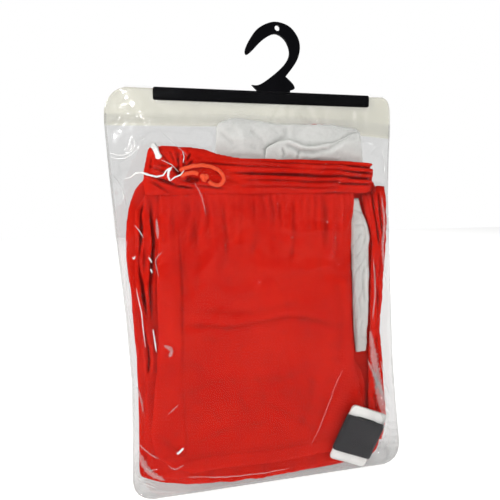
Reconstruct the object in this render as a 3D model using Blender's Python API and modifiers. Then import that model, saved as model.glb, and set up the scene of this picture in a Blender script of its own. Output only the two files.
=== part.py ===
"""A folded Santa suit in a clear hanger bag: trousers, jacket, hat and belt, folded to one flat pack.

The pack hangs from its hook. The origin is where the hook's inner curve rests on a rail, +Z is up,
the front of the pack faces -Y and +X is to the right seen from the front.
Heights are given as a drop: the distance below the fold along the bag's top edge.
"""

import math
from collections import namedtuple

import bmesh
import bpy
from mathutils import Matrix, Vector
from mathutils.bvhtree import BVHTree

MM = 0.001

# Overall sizes of the pack
HOOK_RISE = 58 * MM
BAG_HEIGHT = 431 * MM
SEAM_GAP = 0.6 * MM
CLOTH_GAP = 0.5 * MM
EDGE_ROUND = 0.38

# Depths of the folded layers, from the back of the pack to its front
BACK_TRIM_BACK = 20.6 * MM
JACKET_BACK = 17.2 * MM
JACKET_MIDDLE_BACK = 6.0 * MM
JACKET_MIDDLE_FRONT = 5.4 * MM
JACKET_FRONT = -4.0 * MM
HAT_BACK = -4.6 * MM
HAT_MIDDLE = -7.4 * MM
HAT_FRONT = -10.6 * MM
TROUSER_BACK = -4.6 * MM
TROUSER_MIDDLE = -13.0 * MM
TROUSER_FRONT = -21.0 * MM
REAR_CASING_BACK = -11.7 * MM
REAR_CASING_FRONT = -14.6 * MM
CASING_BACK = -15.2 * MM
CASING_FRONT = -22.4 * MM

# Hanger
HANGER_THICKNESS = 3.0 * MM
BAR_LEFT = -127 * MM
BAR_RIGHT = 109 * MM
BAR_TOP_DROP = 1.0 * MM
BAR_DEPTH = 12.5 * MM
BAR_CORNER = 2.0 * MM
BAR_GROOVE = 1.2 * MM
HOOK_HOLE_RADIUS = 3.0 * MM
HOOK_HOLE_X = 3 * MM
HOOK_HOLE_RISE = 64 * MM
HOOK_BASE_GAP = 0.3 * MM

# Bag film: the real film is 0.06 mm, and the wall here is thick enough to be a solid
FILM = 0.6 * MM
FILM_CLEARANCE = 0.8 * MM
DRAPE_SAMPLES = 10
DRAPE_PASSES = 10
FLAP_DROP = 47 * MM
FLAP_STAND = 2.3 * MM
MOUTH_DROP = 38 * MM
SLOT_LEFT = -26 * MM
SLOT_RIGHT = 23 * MM

# Cord and belt
CORD_RADIUS = 2.0 * MM
BELT_WIDTH = 45 * MM
BUCKLE_BAR = 11 * MM
BUCKLE_WIDTH = 47 * MM
BUCKLE_THICKNESS = 2.4 * MM
BELT_TURN = math.radians(23)
BELT_LEAN = math.radians(6.5)

Side = namedtuple("Side", "drop left right")
Edge = namedtuple("Edge", "x drop")
Fold = namedtuple("Fold", "x0 drop0 x1 drop1 width rise")


def z_of(drop):
    """Height in the part's frame of a drop below the bag's top fold."""
    return -HOOK_RISE - drop


def material(name, colour, roughness, metallic=0.0, alpha=1.0):
    """A Principled material with one plain colour."""
    made = bpy.data.materials.new(name)
    made.use_nodes = True
    shader = made.node_tree.nodes["Principled BSDF"]
    shader.inputs["Base Color"].default_value = (*colour, 1.0)
    shader.inputs["Roughness"].default_value = roughness
    shader.inputs["Metallic"].default_value = metallic
    shader.inputs["Alpha"].default_value = alpha
    return made


def clear_scene():
    """Removes every object of the startup scene."""
    for obj in list(bpy.data.objects):
        bpy.data.objects.remove(obj, do_unlink=True)


def add_object(name, data, finish, collection):
    """Links a mesh or curve as one named piece of the pack."""
    obj = bpy.data.objects.new(name, data)
    obj.data.materials.append(finish)
    collection.objects.link(obj)
    return obj


def smooth(t):
    """Ease from 0 to 1 with flat ends."""
    t = min(max(t, 0.0), 1.0)
    return t * t * (3 - 2 * t)


def along(rows, key, value, at):
    """Reads one column of a table at a place between its rows, with a soft curve through them."""
    points = [(getattr(row, key), getattr(row, value)) for row in rows]
    if at <= points[0][0]:
        return points[0][1]
    for (a, va), (b, vb) in zip(points, points[1:]):
        if at <= b:
            share = (at - a) / (b - a)
            return va + (vb - va) * (0.5 * share + 0.5 * smooth(share))
    return points[-1][1]


def fold_rise(folds, x, drop):
    """Sum of the soft ridges and troughs of a fold table at one point of a panel."""
    total = 0.0
    for fold in folds:
        start = Vector((fold.x0, fold.drop0))
        line = Vector((fold.x1, fold.drop1)) - start
        share = (Vector((x, drop)) - start).dot(line) / line.length_squared
        held = min(max(share, 0.0), 1.0)
        away = (Vector((x, drop)) - start - line * held).length
        fade = math.sin(math.pi * (0.15 + 0.7 * held))
        total += fold.rise * fade * math.exp(-((away / fold.width) ** 2))
    return total


def spaced(count):
    """Places from 0 to 1, close together near both ends."""
    return [0.5 - 0.5 * math.cos(math.pi * i / count) for i in range(count + 1)]


def block_mesh(name, across, down, levels, place):
    """A grid extruded through depth levels to a closed block, with each point put by place(u, w, s).

    across is a number of columns, or a list of their places from 0 to 1.
    """
    us = spaced(across) if isinstance(across, int) else across
    across = len(us) - 1
    ws = spaced(down)
    bm = bmesh.new()
    bmesh.ops.create_grid(bm, x_segments=across, y_segments=down, size=0.5)
    for vert in bm.verts:
        vert.co = Vector((vert.co.x + 0.5, 0.0, vert.co.y + 0.5))
    front = [*bm.verts, *bm.edges, *bm.faces]
    for level in range(1, levels + 1):
        front = bmesh.ops.extrude_face_region(bm, geom=front, use_keep_orig=level == 1)["geom"]
        for vert in (item for item in front if isinstance(item, bmesh.types.BMVert)):
            vert.co.y = level / levels
    for vert in bm.verts:
        u = us[round(vert.co.x * across)]
        w = ws[round(vert.co.z * down)]
        vert.co = place(u, w, vert.co.y)
    bmesh.ops.recalc_face_normals(bm, faces=bm.faces)
    if bm.calc_volume(signed=True) < 0:
        bmesh.ops.reverse_faces(bm, faces=bm.faces)
    mesh = bpy.data.meshes.new(name)
    bm.to_mesh(mesh)
    bm.free()
    mesh.shade_smooth()
    return mesh


def rounded(distance, radius):
    """Share of full depth lost at a distance in from a rounded edge."""
    inside = 1 - min(max(distance / radius, 0.0), 1.0)
    return 1 - math.sqrt(max(1 - inside * inside, 0.0))


def layered_block(name, sides, top, bottom, back, front, layers, bulge, across, down,
                  levels, radius, folds=(), back_folds=(), tilt=None, press=None):
    """A folded block of cloth whose edges show its layers.

    sides gives the left and right edge down the block, top and bottom its ends across.
    back and front are depths along Y, and bulge is how far each layer's fold stands out.
    Where given, tilt(x, drop) moves front and back together and press(x, drop) hollows the front.
    """
    width = sides[0].right - sides[0].left

    def place(u, w, s):
        guess = sides[0].left + width * u
        high = along(top, "x", "drop", guess)
        low = along(bottom, "x", "drop", guess)
        drop = high + (low - high) * w
        left = along(sides, "drop", "left", drop)
        right = along(sides, "drop", "right", drop)
        x = left + (right - left) * u
        inset = min(x - left, right - x, drop - high, low - drop)
        pinch = EDGE_ROUND * abs(front - back) / layers * rounded(inset, radius)
        y_front = front + pinch - fold_rise(folds, x, drop)
        if press:
            y_front += press(x, drop)
        y_back = back - pinch + fold_rise(back_folds, x, drop)
        y = y_back + (y_front - y_back) * s
        out = Vector(((u > 0.999) - (u < 0.001), (w > 0.999) - (w < 0.001)))
        if out.length and 0.001 < s < 0.999:
            out = out.normalized() * bulge * abs(math.sin(math.pi * layers * s))
            x += out.x
            drop += out.y
        if tilt:
            y += tilt(x, drop)
        return Vector((x, y, z_of(drop)))

    return block_mesh(name, across, down, levels, place)


def flat_edge(drop):
    """A straight top or bottom edge at one drop."""
    return [Edge(-1.0, drop), Edge(1.0, drop)]


def in_mm(rows):
    """A table written in millimetres, in metres."""
    return [type(row)(*(value * MM for value in row)) for row in rows]


def corner_rows(rows, radius, steps=4):
    """Side rows with both ends turned in by a round corner."""
    first, last = rows[0], rows[-1]
    made = []
    for i in range(steps):
        angle = 0.5 * math.pi * i / steps
        inset = radius * (1 - math.sin(angle))
        made.append(Side(first.drop + radius * (1 - math.cos(angle)), first.left + inset,
                         first.right - inset))
    body = [row for row in rows if first.drop + radius <= row.drop <= last.drop - radius]
    low = []
    for i in range(steps):
        angle = 0.5 * math.pi * i / steps
        inset = radius * (1 - math.sin(angle))
        low.append(Side(last.drop - radius * (1 - math.cos(angle)), last.left + inset,
                        last.right - inset))
    return made + body + list(reversed(low))


def spline_outline(name, loops, half, finish, collection):
    """A flat plate from closed outlines in the XZ plane, the first one solid and the rest holes."""
    curve = bpy.data.curves.new(name, "CURVE")
    curve.dimensions = "2D"
    curve.fill_mode = "BOTH"
    curve.extrude = half
    for loop in loops:
        spline = curve.splines.new("POLY")
        spline.points.add(len(loop) - 1)
        for point, (x, z) in zip(spline.points, loop):
            point.co = (x, z, 0.0, 1.0)
        spline.use_cyclic_u = True
    obj = add_object(name, curve, finish, collection)
    obj.rotation_euler = (0.5 * math.pi, 0.0, 0.0)
    return obj


def smooth_loop(points, steps):
    """Points along a closed outline: (x, z, sharp) corners stay, and the rest is a soft curve."""
    made = []
    count = len(points)
    for i, (x1, z1, sharp1) in enumerate(points):
        x0, z0, _ = points[i - 1]
        x2, z2, sharp2 = points[(i + 1) % count]
        x3, z3, _ = points[(i + 2) % count]
        p0, p1, p2, p3 = (Vector(p) for p in ((x0, z0), (x1, z1), (x2, z2), (x3, z3)))
        if sharp1:
            p0 = p1
        if sharp2:
            p3 = p2
        for step in range(steps):
            t = step / steps
            made.append(0.5 * (2 * p1 + (p2 - p0) * t + (2 * p0 - 5 * p1 + 4 * p2 - p3) * t * t
                               + (3 * p1 - p0 - 3 * p2 + p3) * t ** 3))
    return [(p.x, p.y) for p in made]


# Hook outline round the plate, in millimetres above the bag's top fold: x, rise, sharp corner
HOOK_OUTLINE = [
    (-19, -0.7, True), (-25, 5, True), (-16, 6, False), (1, 18, False), (13, 30, False),
    (16.5, 41, False), (11, 53, False), (0, 58, False), (-13, 51, False), (-26, 38, False),
    (-31, 35.5, False), (-31.5, 41, False), (-26, 52, False), (-17, 63, False), (-1, 70, False),
    (15, 67, False), (25, 57, False), (28, 45, False), (24, 31, False), (12, 15, True),
    (20, 8, False), (22, 3, False), (17, 1, True), (17, -0.7, True),
]


def make_hanger(finish, collection):
    """Bar inside the bag's top fold, and the flat hook that stands on it."""
    bm = bmesh.new()
    size = (BAR_RIGHT - BAR_LEFT, HANGER_THICKNESS, BAR_DEPTH)
    centre = (0.5 * (BAR_LEFT + BAR_RIGHT), 0.0, z_of(BAR_TOP_DROP + 0.5 * BAR_DEPTH))
    bmesh.ops.create_cube(bm, size=1.0, matrix=Matrix.Translation(centre) @ Matrix.Diagonal((*size, 1.0)))
    upright = [e for e in bm.edges if abs(e.verts[0].co.y - e.verts[1].co.y) > 0.5 * HANGER_THICKNESS]
    bmesh.ops.bevel(bm, geom=upright, offset=BAR_CORNER, segments=3, profile=0.5, affect="EDGES")
    for side in (-1, 1):
        faces = [f for f in bm.faces if f.normal.y * side > 0.9]
        bmesh.ops.inset_region(bm, faces=faces, thickness=1.4 * MM, use_even_offset=True)
        inner = max((f for f in bm.faces if f.normal.y * side > 0.9), key=lambda f: f.calc_area())
        bmesh.ops.translate(bm, verts=inner.verts, vec=(0.0, -side * 0.5 * BAR_GROOVE, 0.0))
    mesh = bpy.data.meshes.new("hanger_bar")
    bm.to_mesh(mesh)
    bm.free()
    add_object("hanger_bar", mesh, finish, collection)

    rise = -HOOK_RISE - BAR_TOP_DROP + HOOK_BASE_GAP + 0.7 * MM
    outline = [(x * MM, z * MM, sharp) for x, z, sharp in HOOK_OUTLINE]
    loop = [(x, z + rise) for x, z in smooth_loop(outline, 4)]
    hole = [(HOOK_HOLE_X + HOOK_HOLE_RADIUS * math.cos(a), HOOK_HOLE_RISE + rise + HOOK_HOLE_RADIUS * math.sin(a))
            for a in (math.tau * i / 12 for i in range(12))]
    spline_outline("hanger_hook", [loop, hole], 0.5 * HANGER_THICKNESS, finish, collection)


def make_jacket(red, white, collection):
    """The jacket, folded to two blocks, with its front trim, a sleeve edge, and what shows behind."""
    rear_sides = in_mm([
        Side(92, -132, 112), Side(130, -142, 119), Side(200, -145, 121), Side(300, -140, 122),
        Side(380, -140, 124), Side(419, -136, 120),
    ])
    rear_edge = in_mm([Edge(-150, 402), Edge(-130, 412), Edge(-110, 419), Edge(100, 419), Edge(124, 410)])
    rear = layered_block("jacket_back_panel", corner_rows(rear_sides, 16 * MM), flat_edge(92 * MM),
                         rear_edge, JACKET_BACK, JACKET_MIDDLE_BACK, 2, 3.0 * MM,
                         12, 16, 6, 14 * MM,
                         back_folds=in_mm([Fold(40, 130, 60, 300, 16, 1.6), Fold(90, 310, 10, 344, 12, 1.4),
                                          Fold(-120, 120, -124, 300, 9, 1.8)]))
    add_object("jacket_back_panel", rear, red, collection)

    low_edge = in_mm([Edge(-158, 390), Edge(-144, 396), Edge(-128, 406), Edge(-108, 417), Edge(-60, 421),
                      Edge(60, 421), Edge(106, 414), Edge(128, 398)])
    front_sides = in_mm([
        Side(93, -141, 116), Side(108, -149, 119), Side(127, -153, 121), Side(158, -156, 123), Side(232, -151, 124),
        Side(290, -147, 124), Side(356, -148, 128), Side(397, -149, 128), Side(422, -143, 122),
    ])
    front = layered_block("jacket_front_panel", corner_rows(front_sides, 6 * MM, 2), flat_edge(93 * MM),
                          low_edge, JACKET_MIDDLE_FRONT, JACKET_FRONT, 2, 3.2 * MM,
                          12, 18, 6, 12 * MM)
    add_object("jacket_front_panel", front, red, collection)

    trim_sides = in_mm([Side(113, 86, 95), Side(124, 86, 98), Side(136, 86, 102), Side(148, 86, 106.5),
                        Side(158, 86, 109), Side(172, 87, 107.5), Side(200, 88, 108.5), Side(250, 90, 107.5),
                        Side(287, 94, 106.5)])
    trim = layered_block("jacket_front_trim", trim_sides, flat_edge(113 * MM), flat_edge(287 * MM),
                         JACKET_FRONT - CLOTH_GAP, -9.6 * MM, 1, 0.5 * MM, 6, 18, 3, 5 * MM,
                         folds=in_mm([Fold(96, 160, 104, 210, 5, 1.4), Fold(98, 225, 92, 275, 5, 1.2)]))
    add_object("jacket_front_trim", trim, white, collection)

    sleeve_sides = in_mm([Side(101, 98, 125), Side(113, 98, 126), Side(124, 101, 127.5), Side(136, 105, 128),
                          Side(148, 109.5, 128), Side(160, 112.5, 127.5), Side(175, 111, 127), Side(215, 111, 124),
                          Side(262, 110, 121), Side(309, 109, 126), Side(362, 110, 131), Side(394, 110, 127)])
    sleeve_top = in_mm([Edge(98, 109), Edge(108.5, 108.5), Edge(112, 101), Edge(126, 101)])
    sleeve = layered_block("jacket_sleeve_fold", sleeve_sides, sleeve_top, flat_edge(394 * MM),
                           JACKET_FRONT - CLOTH_GAP, -13.5 * MM, 1, 1.0 * MM, 7, 24, 4, 7 * MM,
                           folds=in_mm([Fold(122, 120, 114, 170, 5, -2.0), Fold(116, 190, 122, 250, 5, -1.6),
                                        Fold(118, 290, 120, 350, 6, 1.2)]))
    add_object("jacket_sleeve_fold", sleeve, red, collection)

    hem_sides = in_mm([Side(368, -136, 120), Side(404, -134, 119)])
    hem = layered_block("jacket_hem_trim", hem_sides, flat_edge(368 * MM), flat_edge(404 * MM),
                        BACK_TRIM_BACK, JACKET_BACK + CLOTH_GAP, 1, 0.8 * MM, 12, 6, 2, 4 * MM)
    add_object("jacket_hem_trim", hem, white, collection)

    arm_sides = in_mm([Side(108, -102, -34), Side(200, -98, -20), Side(306, -84, 2)])
    arm = layered_block("jacket_rear_sleeve", arm_sides, flat_edge(108 * MM), flat_edge(298.4 * MM),
                        BACK_TRIM_BACK + 2.4 * MM, JACKET_BACK + CLOTH_GAP, 1, 1.2 * MM, 8, 14, 3, 8 * MM,
                        back_folds=in_mm([Fold(-80, 150, -40, 250, 10, 1.4), Fold(-40, 130, -60, 180, 8, -1.2)]))
    add_object("jacket_rear_sleeve", arm, red, collection)

    cuff_sides = in_mm([Side(301, -88, 4), Side(358, -80, 14)])
    cuff = layered_block("jacket_cuff", cuff_sides, flat_edge(301 * MM), flat_edge(358 * MM),
                         BACK_TRIM_BACK + 2.6 * MM, JACKET_BACK + CLOTH_GAP, 1, 1.0 * MM, 8, 6, 2, 6 * MM)
    add_object("jacket_cuff", cuff, white, collection)


def belt_hollow(x, drop):
    """Share of the hollow that the belt presses into the trousers at the lower right."""
    return smooth((x - 8 * MM) / (48 * MM)) * smooth((drop - 296 * MM) / (48 * MM))


def make_trousers(red, collection):
    """The trousers, folded small: inner folds, the front leg panel, and both halves of the waist casing."""
    inner_sides = in_mm([
        Side(110, -144, 81), Side(135, -149, 82), Side(175, -150, 82), Side(232, -146, 82), Side(280, -142, 83),
        Side(298, -142, 84), Side(314, -142, 104), Side(356, -144, 106), Side(390, -143, 104), Side(418, -130, 96),
    ])
    strips = in_mm([
        Fold(-147, 122, -144, 300, 3.0, 2.4), Fold(-138.5, 106, -138.5, 262, 3.0, 3.2),
        Fold(-143, 168, -142.4, 226, 2.0, -2.4), Fold(-134.6, 150, -135, 240, 1.8, -1.6),
    ])
    columns = [0, 0.007, 0.018, 0.03, 0.042, 0.054, 0.066, 0.078, 0.09, 0.104, 0.13, 0.3, 0.5, 0.6, 0.68,
               0.76, 0.84, 0.93, 0.985, 1]
    inner_edge = in_mm([Edge(-150, 386), Edge(-140, 392), Edge(-124, 402), Edge(-104, 413), Edge(-60, 418),
                        Edge(60, 417), Edge(106, 406)])
    inner = layered_block("trouser_inner_folds", corner_rows(inner_sides, 11 * MM), flat_edge(110 * MM),
                          inner_edge, TROUSER_BACK, TROUSER_MIDDLE, 2, 2.2 * MM,
                          columns, 20, 5, 6 * MM, folds=strips,
                          press=lambda x, drop: 5.4 * MM * belt_hollow(x, drop)
                          * (0.7 + 0.3 * smooth((drop - 360 * MM) / (50 * MM))))
    add_object("trouser_inner_folds", inner, red, collection)

    leg_sides = in_mm([
        Side(110, -126, 84), Side(150, -128, 81), Side(190, -129, 80), Side(233, -129, 81), Side(285, -131, 86),
        Side(325, -136, 96), Side(352, -140, 100), Side(372, -135, 96), Side(386, -122, 86), Side(398, -96, 62),
    ])
    leg_folds = in_mm([
        Fold(-112, 150, -110, 320, 9, 1.6), Fold(-96, 118, -98, 210, 6, -1.8), Fold(-60, 114, -72, 190, 8, 1.5),
        Fold(-30, 112, -20, 168, 7, -1.3), Fold(16, 112, 6, 196, 9, 1.6), Fold(52, 114, 60, 180, 7, -1.4),
        Fold(-80, 230, 30, 270, 14, 1.3), Fold(-50, 330, 60, 300, 16, -1.2), Fold(-110, 340, -20, 372, 14, 1.4),
        Fold(70, 210, 40, 330, 12, 1.2),
    ])
    leg = layered_block("trouser_front_leg", leg_sides, flat_edge(110.2 * MM), flat_edge(398 * MM),
                        TROUSER_MIDDLE - CLOTH_GAP, TROUSER_FRONT, 1, 1.6 * MM, 20, 26, 4, 9 * MM,
                        folds=leg_folds,
                        tilt=lambda x, drop: 3.4 * MM * belt_hollow(x, drop),
                        press=lambda x, drop: 4.1 * MM * belt_hollow(x, drop))
    add_object("trouser_front_leg", leg, red, collection)

    waist_top = in_mm([
        Edge(-136, 63), Edge(-118, 61), Edge(-98, 61.5), Edge(-83, 63.5), Edge(-63, 69.5), Edge(-42, 72.5),
        Edge(23, 74), Edge(69, 75), Edge(95, 76), Edge(103, 79),
    ])
    casing_sides = in_mm([Side(61, -133, 98), Side(72, -136, 101), Side(84, -138, 103), Side(96, -139, 102),
                          Side(108, -137, 98)])
    casing_folds = in_mm([
        Fold(-48, 80, 98, 85, 2.4, 2.0), Fold(-50, 86, 96, 90.5, 1.8, -1.6), Fold(-46, 94, 100, 97, 2.8, 2.0),
        Fold(-104, 64, -105, 80, 2.2, -2.6), Fold(-98, 62, -101, 78, 2.0, 2.0), Fold(-112, 62, -109, 78, 2.6, 2.4),
        Fold(-90, 66, -99, 79, 2.0, -1.6), Fold(-130, 65, -110, 79, 2.6, 1.8), Fold(-134, 75, -110, 84, 2.4, -1.8),
        Fold(-136, 86, -110, 87, 2.8, 2.4), Fold(-134, 97, -110, 92, 2.4, -2.0), Fold(-120, 106, -106, 92, 2.6, 2.0),
        Fold(-72, 66, -94, 76, 2.4, 1.4), Fold(-104.5, 84, -103.5, 86, 4.2, -4.2),
    ])
    casing = layered_block("waist_casing_front", casing_sides, waist_top, flat_edge(106.6 * MM), CASING_BACK,
                           CASING_FRONT, 1, 1.6 * MM, 44, 9, 3, 6 * MM, folds=casing_folds)
    add_object("waist_casing_front", casing, red, collection)

    rear_top = [Edge(row.x, row.drop + 3.5 * MM) for row in waist_top]
    rear_sides = in_mm([Side(64, -128, 102), Side(84, -130, 109), Side(106, -128, 106)])
    rear = layered_block("waist_casing_rear", rear_sides, rear_top, flat_edge(106 * MM), REAR_CASING_BACK,
                         REAR_CASING_FRONT, 1, 1.2 * MM, 14, 6, 2, 5 * MM)
    add_object("waist_casing_rear", rear, red, collection)


def make_hat(red, white, collection):
    """The hat: its white brim folded once with the roll in front, and the red cone tucked behind."""
    brim_top = in_mm([
        Edge(-66, 46), Edge(-60, 35), Edge(-50, 30.5), Edge(-38, 30), Edge(-18, 32), Edge(3, 35.5), Edge(25, 35),
        Edge(52, 34.5), Edge(75, 36), Edge(90, 38), Edge(98, 46),
    ])
    brim_sides = in_mm([Side(30, -62, 94), Side(50, -65, 97), Side(75, -66, 98), Side(105, -62, 92)])
    brim = layered_block("hat_brim", brim_sides, brim_top, flat_edge(105 * MM), HAT_BACK, HAT_MIDDLE, 1,
                         0.6 * MM, 22, 9, 2, 5 * MM,
                         folds=in_mm([Fold(-42, 42, -30, 66, 12, 3.4), Fold(4, 40, -12, 78, 3.2, -1.0)]),
                         back_folds=in_mm([Fold(-40, 40, -30, 60, 10, -1.6)]))
    add_object("hat_brim", brim, white, collection)

    roll_top = in_mm([
        Edge(-13, 68), Edge(-6, 58), Edge(4, 52), Edge(13, 50.5), Edge(22, 54), Edge(31, 58.5), Edge(45, 58),
        Edge(62, 54), Edge(76, 48), Edge(86, 42.5), Edge(94, 42), Edge(98, 50),
    ])
    roll_sides = in_mm([Side(42, -8, 95), Side(66, -13, 98), Side(85, -15, 98), Side(103, -12, 93)])
    roll = layered_block("hat_brim_roll", roll_sides, roll_top, flat_edge(103 * MM),
                         HAT_MIDDLE - CLOTH_GAP + 0.1 * MM, HAT_FRONT, 1, 0.8 * MM, 20, 8, 2, 5 * MM,
                         folds=in_mm([Fold(20, 58, 58, 60, 4, 2.4), Fold(2, 60, 2, 80, 5, 1.4),
                                      Fold(66, 58, 90, 52, 6, 1.8)]))
    for vert in roll.vertices:
        vert.co.y = min(vert.co.y, HAT_MIDDLE - CLOTH_GAP + 0.1 * MM)
    add_object("hat_brim_roll", roll, white, collection)

    cone_top = in_mm([Edge(20, 44), Edge(38, 33.6), Edge(48, 31.6), Edge(56, 33.6), Edge(86, 46)])
    cone_sides = in_mm([Side(31, 22, 84), Side(60, 18, 90), Side(90, 14, 92)])
    cone = layered_block("hat_cone", cone_sides, cone_top, flat_edge(90 * MM), -2.0 * MM, HAT_BACK + CLOTH_GAP,
                         1, 0.4 * MM, 10, 6, 2, 3 * MM)
    add_object("hat_cone", cone, red, collection)


def cord_curve(name, route, radius, finish, collection):
    """A round cord through its route's points, read from a soft curve."""
    points = [Vector((x, y, z_of(drop))) for x, drop, y in route]
    dense = []
    for i in range(len(points) - 1):
        p0 = points[max(i - 1, 0)]
        p1, p2 = points[i], points[i + 1]
        p3 = points[min(i + 2, len(points) - 1)]
        for step in range(2):
            t = step / 2
            dense.append(0.5 * (2 * p1 + (p2 - p0) * t + (2 * p0 - 5 * p1 + 4 * p2 - p3) * t * t
                                + (3 * p1 - p0 - 3 * p2 + p3) * t ** 3))
    dense.append(points[-1])
    curve = bpy.data.curves.new(name, "CURVE")
    curve.dimensions = "3D"
    curve.bevel_depth = radius
    curve.bevel_resolution = 2
    curve.use_fill_caps = True
    spline = curve.splines.new("POLY")
    spline.points.add(len(dense) - 1)
    for point, co in zip(spline.points, dense):
        point.co = (*co, 1.0)
    return add_object(name, curve, finish, collection)


# Route of the drawstring's long loop: x, drop, depth in millimetres, from the casing to the knot
LOOP_ROUTE = [
    (-104.6, 84.2, -23.2), (-101.5, 82.6, -25.4), (-96, 80.8, -26.4), (-89, 79.6, -26.2), (-81, 79.4, -25.8),
    (-72.5, 81.2, -25.2), (-66, 84.8, -25.2), (-62.2, 89.6, -25.2), (-62, 94.2, -25.2), (-64.8, 97.8, -25.4),
    (-69.6, 98.8, -26.0), (-74, 97.2, -26.8), (-77, 95, -27.2),
]
SHORT_ROUTE = [
    (-104.2, 89.4, -24.2), (-101, 88.2, -25.2), (-96.6, 86.8, -25.8), (-92, 86.4, -25.6), (-87.4, 87.8, -26.2),
]


def make_drawstring(red, collection):
    """The waist cord: a long loop and a short end that leave the casing and meet in a knot."""
    for name, route in (("drawstring_loop", LOOP_ROUTE), ("drawstring_end", SHORT_ROUTE)):
        cord_curve(name, [(x * MM, drop * MM, y * MM) for x, drop, y in route], CORD_RADIUS, red, collection)
    bm = bmesh.new()
    bmesh.ops.create_icosphere(bm, subdivisions=2, radius=1.0)
    centre = Vector((-81.6 * MM, -27.4 * MM, z_of(91.2 * MM)))
    for vert in bm.verts:
        ripple = 1 + 0.16 * math.sin(3 * math.atan2(vert.co.z, vert.co.x) + 2 * vert.co.y)
        size = Vector((4.6 * MM, 3.6 * MM, 4.2 * MM)) * ripple
        vert.co = centre + Vector((vert.co.x * size.x, vert.co.y * size.y, vert.co.z * size.z))
    mesh = bpy.data.meshes.new("drawstring_knot")
    bm.to_mesh(mesh)
    bm.free()
    mesh.shade_smooth()
    add_object("drawstring_knot", mesh, red, collection)


def make_belt(black, white, collection):
    """The belt, wound flat round its own buckle, so that the frame's top and bottom bars stand out."""
    centre = Vector((92.4 * MM, -18.9 * MM, z_of(382 * MM)))
    turn = (Matrix.Translation(centre) @ Matrix.Rotation(BELT_LEAN, 4, "X")
            @ Matrix.Rotation(BELT_TURN, 4, "Y"))
    half_height = 0.5 * BELT_WIDTH + BUCKLE_BAR

    bm = bmesh.new()
    bmesh.ops.create_cube(bm, size=1.0, matrix=Matrix.Diagonal((BUCKLE_WIDTH, BUCKLE_THICKNESS, 2 * half_height, 1.0)))
    upright = [e for e in bm.edges if abs(e.verts[0].co.y - e.verts[1].co.y) > 0.5 * BUCKLE_THICKNESS]
    bmesh.ops.bevel(bm, geom=upright, offset=5 * MM, segments=4, profile=0.5, affect="EDGES")
    frame = bpy.data.meshes.new("belt_buckle")
    bm.to_mesh(frame)
    bm.free()
    window = bmesh.new()
    bmesh.ops.create_cube(window, size=1.0,
                          matrix=Matrix.Diagonal((BUCKLE_WIDTH - 16 * MM, 4 * BUCKLE_THICKNESS, BELT_WIDTH + 1 * MM, 1.0)))
    cutter_mesh = bpy.data.meshes.new("buckle_window")
    window.to_mesh(cutter_mesh)
    window.free()
    buckle = add_object("belt_buckle", frame, white, collection)
    cutter = bpy.data.objects.new("buckle_window", cutter_mesh)
    cutter.hide_render = True
    cutter.display_type = "WIRE"
    helpers = bpy.data.collections.new("cutters")
    bpy.context.scene.collection.children.link(helpers)
    helpers.objects.link(cutter)
    buckle.matrix_world = turn
    cutter.matrix_world = turn
    cut = buckle.modifiers.new("window", "BOOLEAN")
    cut.object = cutter
    cut.operation = "DIFFERENCE"

    for index, (depth, wide, thick) in enumerate(((-2.9 * MM, 51 * MM, 3.0 * MM), (2.9 * MM, 49 * MM, 2.6 * MM))):
        name = ("belt_strap_front", "belt_strap_rear")[index]

        def place(u, w, s, depth=depth, wide=wide, thick=thick):
            x = (u - 0.5) * wide
            z = (0.5 - w) * (BELT_WIDTH - 1.2 * MM)
            edge = rounded(min(u, 1 - u) * wide, 3 * MM)
            y = depth + (0.5 - s) * thick * (1 - 0.7 * edge)
            y += (1.5 * MM * edge) * (1 if depth < 0 else -1)
            return turn @ Vector((x, y, z))

        add_object(name, block_mesh(name, 10, 3, 2, place), black, collection)


def bag_outline():
    """Left and right edge of the bag down its height, with its round corners in the rows."""
    return in_mm([
        Side(1, -150, 124), Side(3, -158, 129.5), Side(7, -165, 133.5), Side(14, -171, 135.5),
        Side(24, -174.5, 136), Side(45, -175, 136), Side(73, -173, 135), Side(110, -170, 135),
        Side(163, -166, 138), Side(232, -160, 141), Side(302, -156, 145), Side(356, -157, 150),
        Side(407, -158.5, 156), Side(417, -157, 154.5), Side(424, -152.5, 150.5), Side(429, -145, 143),
        Side(431, -137, 136),
    ])


def tree_of(names):
    """One ray-cast tree of several finished pieces, in the part's frame."""
    graph = bpy.context.evaluated_depsgraph_get()
    points, faces = [], []
    for name in names:
        obj = bpy.data.objects[name].evaluated_get(graph)
        mesh = obj.to_mesh()
        first = len(points)
        points += [obj.matrix_world @ vert.co for vert in mesh.vertices]
        faces += [tuple(first + index for index in face.vertices) for face in mesh.polygons]
        obj.to_mesh_clear()
    return BVHTree.FromPolygons(points, faces)


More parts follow.
